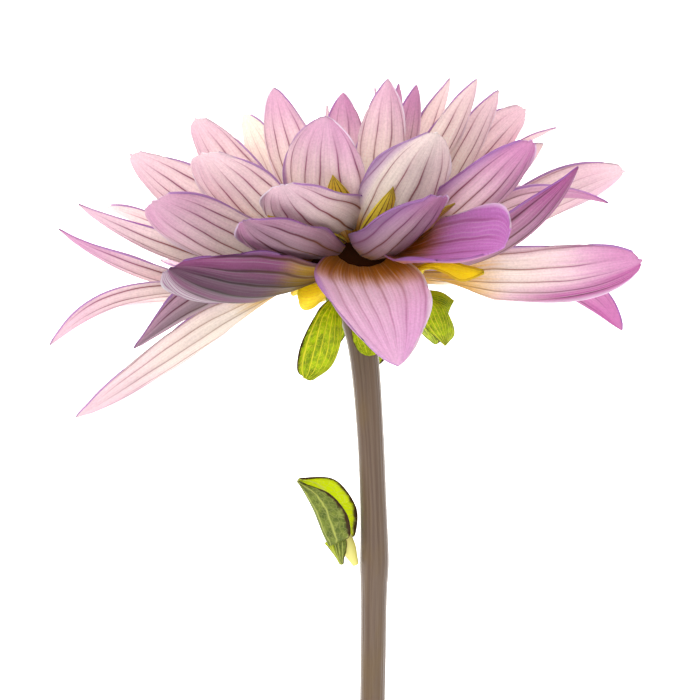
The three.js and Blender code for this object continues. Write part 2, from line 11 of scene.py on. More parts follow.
import bpy
import numpy as np
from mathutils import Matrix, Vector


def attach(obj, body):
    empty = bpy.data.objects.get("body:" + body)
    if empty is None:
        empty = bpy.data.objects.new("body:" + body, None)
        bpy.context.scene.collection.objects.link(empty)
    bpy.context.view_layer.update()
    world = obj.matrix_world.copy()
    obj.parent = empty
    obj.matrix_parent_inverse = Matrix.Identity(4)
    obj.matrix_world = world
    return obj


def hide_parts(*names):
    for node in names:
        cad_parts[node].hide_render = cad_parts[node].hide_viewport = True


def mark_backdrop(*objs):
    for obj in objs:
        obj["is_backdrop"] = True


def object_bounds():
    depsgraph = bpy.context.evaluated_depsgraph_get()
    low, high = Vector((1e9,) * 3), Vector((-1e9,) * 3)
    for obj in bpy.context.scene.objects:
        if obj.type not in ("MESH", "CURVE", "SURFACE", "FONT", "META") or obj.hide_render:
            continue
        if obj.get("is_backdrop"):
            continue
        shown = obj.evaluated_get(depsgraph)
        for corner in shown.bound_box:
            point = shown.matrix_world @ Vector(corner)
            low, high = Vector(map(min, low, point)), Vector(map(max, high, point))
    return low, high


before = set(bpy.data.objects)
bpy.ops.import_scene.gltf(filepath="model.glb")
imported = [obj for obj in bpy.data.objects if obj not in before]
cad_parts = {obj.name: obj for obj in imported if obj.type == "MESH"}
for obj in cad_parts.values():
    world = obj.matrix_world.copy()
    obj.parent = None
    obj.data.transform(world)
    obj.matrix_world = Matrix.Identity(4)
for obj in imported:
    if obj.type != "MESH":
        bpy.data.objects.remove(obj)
CAD_LOW, CAD_HIGH = (list(corner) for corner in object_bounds())

bl_info = {
    "name": "Cut dahlia",
    "version": (1, 0, 0),
    "blender": (4, 5, 0),
    "location": "3D View > Sidebar > Dahlia",
    "description": "Petals, scales, bracts, stem and leaf of a cut dahlia",
    "category": "Add Mesh",
}

MM = 0.001
HEAD = np.array([2.64, 74.68, 50.0])  # middle of the flower head in the part's frame
SKIN = 0.06  # how far inside the solid's own box every piece stays

# Ray petals that face up: name, tip x, tip y, tip z, width, where it is widest (0 root, 1 tip),
# how pointed (1 sharp), sag near the root, sag near the tip, sideways bow, roll, twist, cupping, row
PETALS = [
    ("fall_front", 8.6, -22.7, 42, 24.5, 0.4, 0.72, 0, -6, -1.5, 0, 0, 0.4, 3),
    ("sweep_left", -38.2, -2.6, 45, 23, 0.55, 0.6, 5, 5, 0, -30, 4, 0.8, 0),
    ("sweep_right", 30.4, 1.8, 42, 22, 0.8, 0.55, 0, 0, 0, -38, 0, 1, 2),
    ("long_right", 62.3, 0.2, 8, 18, 0.66, 0.6, 1.5, 4.5, 0, 45, 0, 0.5, 0),
    ("long_left_low", -61.3, -34.1, 4, 15.5, 0.5, 0.85, -2.2, 0.8, 0, -30, 0, 0.6, 0),
    ("curl_left_low", -47.4, -19, 20, 17, 0.55, 0.9, -4, -3, 0, -32, 0, 0.9, 0),
    ("sickle_left", -67.4, -18.3, 0, 9, 0.6, 0.9, 2, -10, 0, -15, -20, 0.7, 0),
    ("tuck_left", -54.8, -9.6, -18, 12, 0.6, 0.8, 4, 0, 0, -5, 0, 0.5, 0),
    ("tuck_right", 59.9, -14.9, -14, 9.5, 0.74, 0.8, 0, -13, 0, 40, 0, 0.4, 0),
    ("spear_left", -65.8, 7.4, -4, 12, 0.6, 0.95, 7.5, 8, 0, -20, 0, 0.6, 0),
    ("spear_left_up", -60.5, 12.4, 6, 12, 0.55, 0.95, 6, 5, 0, -25, 0, 0.6, 1),
    ("fan_left", -56, 12.8, -14, 16, 0.62, 0.7, 4, 2, 0, -20, 0, 0.5, 1),
    ("boat_right", 46.9, 19.3, 26, 16.5, 0.55, 0.9, 8, 9, 0, 5, 0, 1.1, 1),
    ("droop_right", 55.2, 12.8, 4, 16, 0.5, 0.85, 0, -9, 0, 10, 0, 0.5, 1),
    ("fan_right", 60.2, 20.7, -10, 15.5, 0.68, 0.6, 1, -1, 0, 40, 0, 0.4, 1),
    ("spoon_left_low", -23.2, 7.2, 44, 16.5, 0.5, 0.7, 2, 3, 0, -20, 0, 0.8, 2),
    ("spoon_left", -15.4, 14.6, 43, 24, 0.28, 0.6, 0, 4, 0, -12, 0, 0.9, 4),
    ("lip_right", 17.4, 12.2, 44, 18.5, 0.25, 0.5, 4.5, 3, -1.5, 0, 0, 1.2, 2),
    ("wing_left_low", -43.2, 12.2, 25, 22, 0.66, 0.5, 6, 4, 0, -25, 0, 0.6, 2),
    ("wing_left", -32.4, 22, 30, 22.5, 0.6, 0.5, 6, 4, 0, -10, 0, 0.6, 3),
    ("wing_right", 36.9, 24.7, 30, 21, 0.55, 0.65, 6, 4, 0, 10, 0, 0.7, 3),
    ("crown_left", -6.2, 29.1, 36, 19.5, 0.6, 0.75, 6, 4, -2.5, 0, 0, 0.8, 3),
    ("crown_right", 16.7, 25.7, 38, 22, 0.5, 0.7, 6, 4, -1.5, 12, 0, 1.1, 3),
    ("rear_wing_left", -49.6, 23.7, 2, 20, 0.62, 0.65, 5, 5, 0, -35, 0, 0.7, 3),
    ("sail_left", -34.8, 30.8, 12, 15, 0.66, 0.55, 6, 4, 0, -28, 0, 0.6, 4),
    ("sail_left_high", -17.5, 36.5, 20, 14.5, 0.55, 0.75, 5, 3, -0.5, -8, 0, 0.6, 4),
    ("sail_centre", 6.8, 38.4, 20, 12, 0.6, 0.9, 5, 3, 0, 0, 0, 0.7, 4),
    ("sail_right", 26.1, 39.1, 12, 9.5, 0.6, 0.9, 3, 1, 0, 30, 0, 0.8, 4),
    ("sail_right_far", 31.2, 37.4, 4, 10.5, 0.62, 0.8, 5, 2, 0, 35, 0, 0.7, 3),
    ("tail_right", 37.9, 34.4, -8, 16, 0.7, 0.55, 3, 1, 0, 45, 0, 0.5, 4),
    ("hook_right", 45.1, 30.6, -14, 8, 0.6, 0.9, 2, -4, 0, 20, 0, 0.5, 2),
    ("ghost_right", 41.9, 26.7, -10, 16, 0.65, 0.8, 4, 2, 0, 40, 0, 0.6, 3),
    ("curl_far_left", -25, 33.3, -8, 15, 0.65, 0.7, 4, 3, 0, -50, 0, 0.6, 4),
    ("bud_left", -2.8, 36.5, 8, 10.5, 0.6, 0.8, 4, 2, 0, 0, 0, 0.7, 5),
    ("bud_back", 4.2, 38.3, 0, 9, 0.6, 0.8, 3, 2, 0, 0, 0, 0.7, 5),
    ("bud_mid", 9.4, 39, 2, 9, 0.6, 0.9, 3, 2, 0, 20, 0, 0.7, 5),
    ("bud_right", 13.2, 38.2, 8, 10, 0.6, 0.9, 3, 2, 0, 15, 0, 0.7, 5),
    ("bud_right_far", 20.9, 41, -6, 12, 0.6, 0.9, 3, 2, 0, 40, 0, 0.7, 5),
    ("bud_left_far", -6.4, 34.8, -4, 9, 0.6, 0.9, 3, 2, 0, -20, 0, 0.7, 5),
]

# The two petals that the flower head rests on
REST_PETALS = [
    ("rest_left", -31, 19, -50.3, 19, 0.62, 0.7, 5, 4, 0, 0, 0, 0.6, 2),
    ("rest_right", 31, 21, -50.3, 19, 0.62, 0.7, 5, 4, 0, 0, 0, 0.6, 2),
]

# Ray petals on the side turned to the surface, in rings:
# count, first azimuth, azimuth step, tip radius, tip y, width, row
REAR_RINGS = [
    (5, 212, 29, 56, 3, 18, 0),
    (5, 213, 31, 49, 11, 17, 1),
    (3, 206, 64, 43, 20, 17, 2),
    (5, 209, 31, 33, 28, 15, 3),
    (5, 219, 29, 22, 32, 12, 4),
]
REAR_LOWEST = -49  # no tip of these rings goes lower than this z

# How a petal of the rings goes on after its width: as in the first table, without its row
REAR_FORM = (0.62, 0.7, 5, 4, 0, 0, 0, 0.6)

# Incurved petals that close the middle, on a spiral, smaller ones inside them, and short ones round
# them over the core: kind, count, first azimuth, azimuth step, tip radius and its step, tip y and
# its step, width and its step, how uneven radius and y are, and the rest as in the first table
MIDDLE_PETALS = [
    ("centre", 9, 40, 137.5, (1.5, 0.7), (25, 0.8), (7, 0.3), 0, (0.6, 0.7, 3, 4, 0, 0, 0, 0.9, 5)),
    ("heart", 14, 100, 137.5, (0.5, 0.16), (21, 0.25), (4.6, 0.1), 0,
     (0.55, 0.6, 1.6, 2.2, 0, 0, 0, 1, 6)),
    ("collar", 9, 128, 31, (11.5, 0), (27.5, 0), (9.5, 0), 1.5, (0.6, 0.65, 2, 4, 0, 0, 0, 0.8, 7)),
]
MIDDLE_KINDS = tuple(row[0] for row in MIDDLE_PETALS)

# How a petal's look departs from the common one: violet, painted shade, blush at the tip, stripe
# strength, rolled margin on the first and on the second side in millimetres, pale far margin as a
# painted highlight, how far the gold reaches from the root, breadth of the violet margin, violet
# towards the lower margin
LOOKS = {
    "fall_front": (0.36, 0, 0.5, 0.3, 0.3, 0.3, 0, 0.46, 0.1, 0.1),
    "sweep_left": (1, 0.95, 0.4, 1, 0.9, 0.5, 1, 0.5, 0.4, 0),
    "sweep_right": (0.85, 0, 0.4, 0.35, 0.3, 0.4, 0, 0.55, 0.3, 0),
    "long_right": (0.12, 0.06, 1, 0.7, 0.5, 0.5, 0, 0.48, 0.2, 0.95),
    "long_left_low": (0.08, 0.16, 0.35, 0.6, 0.5, 0.5, 0, 0.35, 0.1, 0.07),
    "curl_left_low": (0.5, 0.62, 0.5, 1, 0.6, 0.6, 0, 0.35, 0.2, 0.1),
    "sickle_left": (0.12, 0.1, 0.5, 1, 0.4, 0.4, 0, 0.3, 0.1, 0.1),
    "boat_right": (0.75, 0.3, 1, 1, 0.5, 0.5, 0, 0.25, 0.3, 0.2),
    "droop_right": (0.3, 0, 1, 0.8, 0.4, 0.4, 0, 0.3, 0.1, 0.2),
    "fan_right": (0, 0.1, 0.5, 0.5, 0.4, 0.4, 0, 0.35, 0.1, 0.12),
    "tuck_right": (0.4, 0, 1, 0.8, 0.3, 0.3, 0, 0.3, 0.1, 0.2),
    "spoon_left_low": (0.6, 0.46, 0.5, 1, 0.4, 0.6, 0, 0.16, 0.3, 0.1),
    "spoon_left": (0.14, 0.18, 0.5, 1, 0.4, 0.6, 0, 0.12, 0.3, 0),
    "lip_right": (0.46, 0.38, 0.7, 1, 1.5, 0.4, 0, 0.3, 4, 0.1),
    "crown_left": (0, 0.1, 0.85, 0.8, 0.4, 0.4, 0, 0.4, 0.2, 0.2),
    "crown_right": (0, 0.2, 0.12, 0.8, 0.8, 0.4, 0, 0.45, 1.6, 0.05),
    "wing_left_low": (0.05, 0.08, 0.8, 1, 0.4, 0.7, 0, 0.42, 0.3, 0.2),
    "wing_left": (0, 0, 0.4, 0.9, 0.4, 0.5, 0, 0.42, 0.2, 0.08),
    "wing_right": (0.28, 0, 0.9, 1, 0.7, 0.4, 0, 0.55, 1.8, 0.22),
    "sail_centre": (0, 0, 0.7, 0.7, 0.35, 0.35, 0, 0.35, 0.1, 0.15),
    "bud_left": (0.1, 0, 0.9, 0.6, 0.3, 0.3, 0, 0.3, 0.1, 0.18),
    "bud_mid": (0.2, 0, 0.9, 0.6, 0.3, 0.3, 0, 0.3, 0.1, 0.18),
    "bud_right": (0.1, 0, 0.9, 0.6, 0.3, 0.3, 0, 0.3, 0.1, 0.18),
    "spear_left": (0.1, 0.08, 0.8, 1, 0.4, 0.4, 0, 0.33, 0.2, 0.16),
    "spear_left_up": (0.08, 0.1, 0.5, 1, 0.4, 0.4, 0, 0.33, 0.2, 0.1),
    "rear_wing_left": (0, 0.06, 0.45, 1, 0.4, 0.4, 0, 0.33, 0.1, 0.09),
    "curl_far_left": (0, 0, 0, 0.3, 0.4, 0.4, 0, 0.33, 0.1, 0),
    "sail_right": (0, 0, 0.25, 0.8, 0.4, 0.4, 0, 0.33, 0.1, 0.12),
    "sail_right_far": (0, 0, 0.3, 0.8, 0.4, 0.4, 0, 0.33, 0.1, 0.1),
    "sail_left_high": (0, 0, 0.6, 0.8, 0.4, 0.4, 0, 0.33, 0.1, 0.08),
}
COMMON_LOOK = (0, 0, 0.38, 0.8, 0.4, 0.4, 0, 0.33, 0.1, 0.08)

# Golden scales that stand between the petals: tip x, tip y, tip z, width, sag, painted shade
SCALES = [
    (-4.9, 17.3, 31, 8, 1, 0),
    (7.7, 14.8, 31.5, 7.5, 3, 0),
    (20.9, 11.6, 26, 8, 1, 0.3),
    (4.7, 3.9, 24, 3.5, 0, 0.6),
    (-10.4, 5.8, 27.5, 6, 0, 0.3),
    (-18.6, 8.8, 30, 6, 0, 0),
    (27.5, 14.1, 20, 6, 0, 0),
]
SCALE_ROOT = (6.5, 2.6)  # distance from the axis and y

# Roots of the rows of petals on the core: distance from the axis and y
ROOTS = [(8, -2.6), (7.5, -1.3), (6.5, 0.6), (5.2, 2), (4, 3), (2.5, 4), (2, 10), (5, 7.5)]

# Core of the flower head: radius and y, and the y under which its flesh is olive
CORE = [(9.4, -3.7), (11.6, -2), (12.4, 1), (11.4, 5), (8.6, 9), (4.5, 11.5)]
CORE_OLIVE_BELOW = -2.4

# Bracts: their root, as distance from the axis and y, the radius, lowest and highest y of their
# disc, and for each bract tip x, tip y, tip z, width, sag near the root, sag near the tip, roll
INNER_ROOT = (6.2, -5.05)
INNER_DISC = (7.4, -5.8, -4.1)
INNER_BRACTS = [
    (14.2, -2.2, 13.5, 6, 1, 1, 0),
    (-14, -7.2, -6.5, 7, 0, -0.5, 0),
    (-11, -9, -17, 7, 0.5, 0.5, 0),
    (2, -9, -21, 7, 0.5, 0.5, 0),
    (18, -9, -13, 7, 0.5, 0.5, 0),
]
OUTER_ROOT = (6, -7.6)
OUTER_DISC = (6.6, -8.9, -6.45)
OUTER_BRACTS = [
    (2.8, -20.6, 11.5, 8, -2.5, -1, 0),
    (-6, -19, -16, 9, -2, -2, 0),
    (4, -23, -18, 9, -2, -2, 0),
    (18, -18, -14, 9, -2, -2, 0),
]

# Folded leaves: points from the root to the tip along the near rim, the fold and the far rim
FOLDED_INNER = {
    "left": (
        [(-3.2, -5.4, 4.4), (-6.5, -7.6, 9), (-9.4, -10.2, 12), (-11.6, -10.4, 13),
         (-12.4, -8, 13)],
        [(-3.6, -5, 5), (-6.2, -6.2, 11), (-8.6, -7.6, 14.4), (-11, -8.2, 15),
         (-12.5, -7.2, 13.4)],
        [(-3.8, -4.9, 4), (-5.6, -4.6, 8), (-7.6, -5, 10), (-10.6, -5.6, 11), (-12.4, -6.4, 13)],
    ),
    "right": (
        [(5, -5.2, 3.4), (7.8, -4.8, 7.4), (10.8, -3.7, 12), (15.2, -1.8, 17.6), (19, -2.9, 20),
         (22.6, -4.6, 20), (27.3, -3, 17)],
        [(5, -5, 2.6), (7.8, -4.8, 5.8), (11, -3.3, 9.4), (16, -1.6, 14), (20, -2.2, 16),
         (24, -3, 16.6), (27.5, -2.7, 16.8)],
        [(4.6, -4.9, 2), (7.8, -4.7, 5), (11.2, -2.4, 9.2), (15.5, -0.7, 14), (19.6, -0.3, 16.4),
         (23.6, -1.4, 17), (27.2, -2.3, 17)],
    ),
}
FOLDED_BRACTS = {
    "left": (
        [(-3.9, -7.4, 4), (-6.8, -9.4, 8.6), (-9.6, -13.4, 10), (-12, -18.6, 10.5),
         (-12.7, -23.6, 11), (-11.2, -25.4, 11.8)],
        [(-2.8, -7.6, 5), (-4.2, -10.6, 9.5), (-4.5, -13.6, 12), (-4.9, -18.4, 13),
         (-6.6, -23, 12.8), (-10.2, -25.9, 12)],
        [(-2.6, -7.8, 4.2), (-3.4, -10.8, 8.2), (-3.3, -13.9, 10.2), (-4.1, -18.6, 11.4),
         (-6, -23, 11.9), (-9, -25.5, 12)],
    ),
    "right_low": (
        [(5.4, -7.9, 3), (11, -9, 8), (14, -11.4, 10.4), (15.2, -14.5, 10.5), (17.5, -16.8, 9.8),
         (19.4, -18.3, 8.6)],
        [(5.6, -7.5, 3.4), (12, -7.8, 9.5), (17, -9.4, 12), (18.7, -12.2, 12.2), (19.5, -15.4, 11),
         (19.5, -18.2, 8.6)],
        [(5.9, -7.5, 2.4), (12.6, -7.6, 7.8), (18, -9.6, 9.4), (20.6, -13.2, 9.2),
         (21.2, -16, 8.8), (20, -17.6, 8.4)],
    ),
    "right_high": (
        [(5.6, -7.3, 1), (10.5, -6.8, 4.6), (15.6, -6.5, 6.4), (18.7, -7, 7), (21.4, -8.7, 6.6)],
        [(5.8, -7.7, 1.2), (11, -7.6, 5.6), (15.9, -7.9, 7.6), (18.9, -8.7, 7.8),
         (20.6, -10, 6.6)],
        [(6, -7.9, 1), (11.2, -8.6, 5), (16, -9.5, 6.6), (18.6, -10.7, 6.4), (20.1, -11.5, 5.6)],
    ),
}

# Stem: x, y, z of its middle line, and its radius
STEM = [
    (0.3, -9.25, 0, 4.3), (0.32, -10.8, 0, 4.1), (0.7, -13.5, -0.1, 3.7),
    (1.5, -18, -0.6, 3.3), (2.4, -26, -2, 3.1), (3.4, -40, -5.4, 2.95),
    (4, -55, -10.2, 2.95), (4.2, -64.5, -13.5, 3.25), (4.2, -68.5, -14.9, 3.3),
    (4.1, -74, -16.8, 2.95), (4, -90, -22.4, 2.9), (3.7, -110, -28.8, 2.9),
    (3, -135, -36, 2.9), (1.9, -162, -42.6, 2.9), (0.6, -190, -47.45, 2.9),
]

# Leaf at the joint of the stem: its folded blade, its lobe, and x, y, z and radius of its stalk
FOLDED_LEAF = {
    "blade": (
        [(-2.4, -61.6, -8.6), (-1.2, -60.2, -6.8), (-2.2, -55.6, -6), (-6.2, -51.2, -6.6),
         (-12.6, -48.9, -9)],
        [(-5.8, -63.2, -9.6), (-7.2, -60.4, -9.5), (-9.2, -55.2, -9.5), (-11.4, -51, -9.3),
         (-13, -48.6, -9)],
        [(-1.9, -62, -12.4), (-0.1, -60.6, -13), (0, -54.6, -13.2), (-4.8, -48.4, -12),
         (-12.5, -48.1, -9.2)],
    ),
    "lobe": (
        [(-2.6, -61, -9.4), (-2, -62.6, -9.2), (-2.2, -64.4, -9.4), (-2.6, -66, -10),
         (-2.9, -67.2, -10.6)],
        [(-4.9, -61.6, -9.4), (-4.6, -63, -9), (-4.2, -64.6, -9.2), (-3.7, -66, -9.8),
         (-3.2, -67.4, -10.4)],
        [(-6.9, -62.6, -10.4), (-6, -63.6, -10.2), (-5, -64.8, -10.2), (-4.1, -66.1, -10.4),
         (-3.6, -67.1, -10.7)],
    ),
}
LEAF_STALK = [
    (0, -67.6, -13, 0.7),
    (-0.9, -65.6, -12.4, 1.3),
    (-1.8, -63.4, -11.6, 1.9),
    (-2.8, -60.6, -10.8, 1.6),
]

# A blade along its length, from 0 at the root to 1 at the tip: how far a roll and the cupping of
# the root last, where a twist and the curled margins begin, and where a blunt tip is drawn back
ROLL_BY, ROOT_CUP_BY, TWIST_FROM = 0.4, 0.35, 0.3
CURL_GROWS, CURL_ENDS = (0.3, 0.55), 0.94
BLUNT_BELOW = 0.71  # a petal is blunt if its number for how pointed it is lies under this
BLUNT_FROM, BLUNT_ROUND = 0.86, 0.025
NOTCH_DEPTH, NOTCH_PLACE, NOTCH_WIDTH = 0.009, 0.4, 0.14  # of two notches, the last two across
RIB_SPACING = 11  # a petal has one rib and one line more for each 11 mm of its width

TISSUE_IOR = 1.42
SMOOTHLY = {"interpolation_type": "SMOOTHSTEP"}
COLOURS = {"data_type": "RGBA", "out": 2}  # a mix of colours, and its output
ALL = slice(None)  # every output of a node

# Stage, in metres: name, place and power of each square light, and the camera over the flower
LIGHTS = (("light_above", (-0.35, 0.25, 0.9), 6.0), ("light_from_stem_end", (0.1, -0.8, 0.55), 7.0))
LIGHT_SIZE = 0.9
LIT_POINT = (0, 0.07, 0.04)  # where the lights aim
CAMERA_PLACE = (0.00134, 0.05528, 0.690)
LENS = 149.4


def linear(code):
    """The linear colour of an sRGB hex value, with alpha 1."""
    channels = [int(code[i : i + 2], 16) / 255 for i in (1, 3, 5)]
    bent = [c / 12.92 if c <= 0.04045 else ((c + 0.055) / 1.055) ** 2.4 for c in channels]
    return (*bent, 1.0)


def node(tree, kind, inputs=None, out=0, **settings):
    """Adds a shader node with its settings and its inputs, values or links, and gives an output."""
    made = tree.nodes.new("ShaderNode" + kind)
    for name, value in settings.items():
        setattr(made, name, value)
    for key, value in (inputs or {}).items():
        if isinstance(value, bpy.types.NodeSocket):
            tree.links.new(value, made.inputs[key])
        else:
            made.inputs[key].default_value = value
    return made.outputs[out] if made.outputs else None


def fresh_material(name):
    """An empty material, and the node function for its tree."""
    material = bpy.data.materials.new(name)
    material.use_nodes = True
    material.node_tree.nodes.clear()
    return material, functools.partial(node, material.node_tree)


# Shape of a blade


def vary(k, reach):
    """A small steady variation for petal number k, between -reach and reach."""
    wave = math.sin(k * 12.9898) * 43758.5453
    return reach * (2 * (wave - math.floor(wave)) - 1)


def smooth(value, low, high):
    """0 below low, 1 above high and a smooth rise between them."""
    t = np.clip((value - low) / (high - low), 0, 1)
    return t * t * (3 - 2 * t)


def unit(vectors):
    return vectors / np.linalg.norm(vectors, axis=-1, keepdims=True)


def bezier(points, u):
    """Places and directions at each u on a cubic curve through its four control points."""
    p0, p1, p2, p3 = (np.asarray(p, float) for p in points)
    u = u[:, None]
    place = (1 - u) ** 3 * p0 + 3 * (1 - u) ** 2 * u * p1 + 3 * (1 - u) * u**2 * p2 + u**3 * p3
    along = 3 * (1 - u) ** 2 * (p1 - p0) + 6 * (1 - u) * u * (p2 - p1) + 3 * u**2 * (p3 - p2)
    return place, unit(along)


def drawn_back(blade, u, v):
    """Moves the last bit of a blunt tip back at its sides and at two notches."""
    notches = NOTCH_DEPTH * np.exp(-(((np.abs(v) - NOTCH_PLACE) / NOTCH_WIDTH) ** 2))
    return u - blade["blunt"] * smooth(u, BLUNT_FROM, 1) * (BLUNT_ROUND * v**2 + notches)


def half_width(blade, u):
    rise = np.sin(np.pi / 2 * np.minimum(1, u / blade["widest"]))
    grow = blade["neck"] + (1 - blade["neck"]) * rise**1.3
    past = np.maximum(0, (u - blade["widest"]) / (1 - blade["widest"]))
    close = np.maximum(0, 1 - past**2.2) ** blade["point"]
    least = max(0.05, 0.07 * blade["blunt"] * blade["width"])
    return np.maximum(blade["width"] / 2 * grow * close, least)


def blade_surface(blade, u, v):
    """Points, upper normals and half widths of a blade at each u (0 root, 1 tip) and v across."""
    root, tip, across = blade["root"], blade["tip"], blade["across"]
    u = drawn_back(blade, u, v)
    chord = tip - root
    face = unit(np.cross(chord, across))
    lean = across * (4 / 3 * blade["bow"])
    first = root + chord / 3 - face * (4 / 3 * blade["sag_root"]) + lean
    second = root + chord * 2 / 3 - face * (4 / 3 * blade["sag_tip"]) + lean
    middle, along = bezier((root, first, second, tip), u)
    face = unit(np.cross(along, across))
    side = np.cross(face, along)
    roll = blade["roll"] * np.minimum(1, u / ROLL_BY)
    twist = blade["twist"] * np.maximum(0, u - TWIST_FROM) / (1 - TWIST_FROM)
    turn = np.radians(roll + twist)[:, None]
    out = face * np.cos(turn) + side * np.sin(turn)
    wide = side * np.cos(turn) - face * np.sin(turn)
    half = half_width(blade, u)
    root_cup = blade["root_cup"] * np.maximum(0, 1 - u / ROOT_CUP_BY) ** 1.5
    cup = blade["cup"] * (0.75 + 0.25 * np.sin(np.pi * u)) + root_cup
    bend, shift, lift = (x[:, None] for x in section(blade, u, v, half, cup))
    points = middle + wide * shift + out * lift
    normals = out * np.cos(bend) - wide * np.sin(bend)
    return points, normals, half


def section(blade, u, v, half, cup):
    """The cross-section: an arc that curls back over the last bit before each margin."""
    curl = np.where(v < 0, blade["curl"][0], blade["curl"][1])
    curl = curl * smooth(u, *CURL_GROWS) * (1 - smooth(u, CURL_ENDS, 1))
    edge = np.clip(1 - curl / half, 0.3, 1)
    reach = np.minimum(np.abs(v), edge)
    angle = cup * reach
    shift = half * np.sin(angle) / cup
    lift = half * (1 - np.cos(angle)) / cup
    past = np.maximum(0, np.abs(v) - edge) * half
    turn = blade["curl_turn"] / np.maximum(half * (1 - edge), 1e-6)
    back = angle - turn * past
    shift = shift + (np.sin(angle) - np.sin(back)) / turn
    lift = lift + (np.cos(back) - np.cos(angle)) / turn
    return back * np.sign(v), shift * np.sign(v), lift


def through(points, u):
    """Places at each u on a smooth curve through the points."""
    points = np.asarray(points, float)
    ends = np.vstack([2 * points[0] - points[1], points, 2 * points[-1] - points[-2]])
    at = np.clip(u, 0, 1) * (len(points) - 1)
    i = np.minimum(at.astype(int), len(points) - 2)
    t = (at - i)[:, None]
    a, b, c, d = (ends[i + k] for k in range(4))
    bend = (2 * a - 5 * b + 4 * c - d) * t**2 + (3 * b - a - 3 * c + d) * t**3
    return 0.5 * (2 * b + (c - a) * t + bend)


def folded_surface(edges, u, v):
    """Points of a leaf that folds along its middle, at v -1 on the near rim and 1 on the far one."""
    near, fold, far = (through(points, u) for points in edges)
    share = ((v + 1) / 2)[:, None]
    pull = 2 * fold - (near + far) / 2
    return (1 - share) ** 2 * near + 2 * share * (1 - share) * pull + share**2 * far


def radial_blade(tip, radius, height, **form):
    """A blade that grows from the flower's axis, at that radius and height, to its tip."""
    out = unit(np.array([tip[0], 0.0, tip[2]]))
    root = out * radius
    root[1] = height
    across = np.cross([0.0, 1.0, 0.0], out)
    plain = {"bow": 0, "roll": 0, "twist": 0, "root_cup": 0, "blunt": 0}
    return {"root": root, "tip": np.array(tip, float), "across": across, **plain, **form}


def petal_blade(row, curl):
    _, x, y, z, width, widest, point, sag_root, sag_tip, bow, roll, twist, cup, tier = row
    return radial_blade(
        (x, y, z), *ROOTS[tier], width=width, widest=widest, point=point, sag_root=sag_root,
        sag_tip=sag_tip, bow=bow, roll=roll, twist=twist, cup=cup, root_cup=0.9, neck=0.4,
        curl=curl, curl_turn=1.9, blunt=float(point < BLUNT_BELOW),
    )


def round_axis(degrees, reach):
    """x and z at an azimuth and a distance from the flower's axis."""
    return reach * math.cos(math.radians(degrees)), reach * math.sin(math.radians(degrees))


def all_petals():
    """The table's row of every ray petal. Its place in the list sets its small variations."""
    rows = PETALS + REST_PETALS
    for ring, (count, first, step, radius, height, width, tier) in enumerate(REAR_RINGS):
        for i in range(count):
            k = 10 * ring + i + 1
            azimuth = first + step * i + vary(k, 4)
            lowest = REAR_LOWEST / math.sin(math.radians(azimuth))
            x, z = round_axis(azimuth, min(radius + vary(k + 50, 1.5), lowest))
            rows.append((f"rear_{k}", x, height + vary(k + 90, 2), z, width, *REAR_FORM, tier))
    for kind, count, first, step, radius, height, width, uneven, form in MIDDLE_PETALS:
        for i in range(count):
            x, z = round_axis(first + step * i, radius[0] + radius[1] * i + vary(i + 7, uneven))
            y = height[0] + height[1] * i + vary(i + 3, uneven)
            rows.append((f"{kind}_{i + 1}", x, y, z, width[0] + width[1] * i, *form))
    return rows


# Making the meshes


def nothing_selected():
    bpy.ops.object.select_all(action="DESELECT")


def flat_sheet(columns, rows):
    """A flat grid, from which every blade is copied."""
    nothing_selected()
    bpy.ops.mesh.primitive_grid_add(x_subdivisions=columns, y_subdivisions=rows, size=2)
    return bpy.context.active_object


def points_of(piece):
    """The places of a piece's vertices, one row each."""
    places = np.zeros(len(piece.data.vertices) * 3, np.float32)
    piece.data.vertices.foreach_get("co", places)
    return places.reshape(-1, 3).astype(float)


def sheet_places(sheet):
    """u (0 root, 1 tip) and v (-1 to 1 across) of each point, closer at the tip and the margins."""
    co = points_of(sheet)
    v = -np.sign(co[:, 0]) * (1 - (1 - np.abs(co[:, 0])) ** 1.3)
    u = 1 - (1 - (co[:, 1] + 1) / 2) ** 1.15
    return np.clip(u, 0, 1), np.clip(v, -1, 1)


def removed(piece):
    mesh = piece.data
    bpy.data.objects.remove(piece)
    bpy.data.meshes.remove(mesh)


def set_points(piece, points):
    """Puts a piece's vertices at points round the flower head, inside the solid's own box."""
    low = (np.array(CAD_LOW) / MM) + SKIN * np.array([1, 1, 0])
    high = (np.array(CAD_HIGH) / MM) - SKIN
    places = np.clip(points + HEAD, low, high) * MM
    piece.data.vertices.foreach_set("co", places.astype(np.float32).ravel())
    piece.data.update()


def marked_copy(sheet, name, points, veins, **marks):
    """A copy of a sheet, brought to its points, with what its material reads.

    veins are the two numbers of its UV map: one counts the lines across, and one runs to the tip.
    Each of the marks is four numbers for each point.
    """
    piece = sheet.copy()
    piece.data = sheet.data.copy()
    piece.name = name
    bpy.context.collection.objects.link(piece)
    set_points(piece, points)
    corners = np.zeros(len(piece.data.loops), np.int32)
    piece.data.loops.foreach_get("vertex_index", corners)
    layer = piece.data.uv_layers.new(name="veins")
    layer.data.foreach_set("uv", np.stack(veins, 1)[corners].astype(np.float32).ravel())
    for mark, numbers in marks.items():
        layer = piece.data.attributes.new(mark, "FLOAT_COLOR", "POINT")
        values = np.stack([np.broadcast_to(x, len(points)) for x in numbers], 1)
        layer.data.foreach_set("color", values.astype(np.float32).ravel())
    return piece


def edited(operator, **settings):
    """Runs a mesh operator on the whole of the active piece."""
    bpy.ops.object.mode_set(mode="EDIT")
    bpy.ops.mesh.select_all(action="SELECT")
    operator(**settings)
    bpy.ops.object.mode_set(mode="OBJECT")


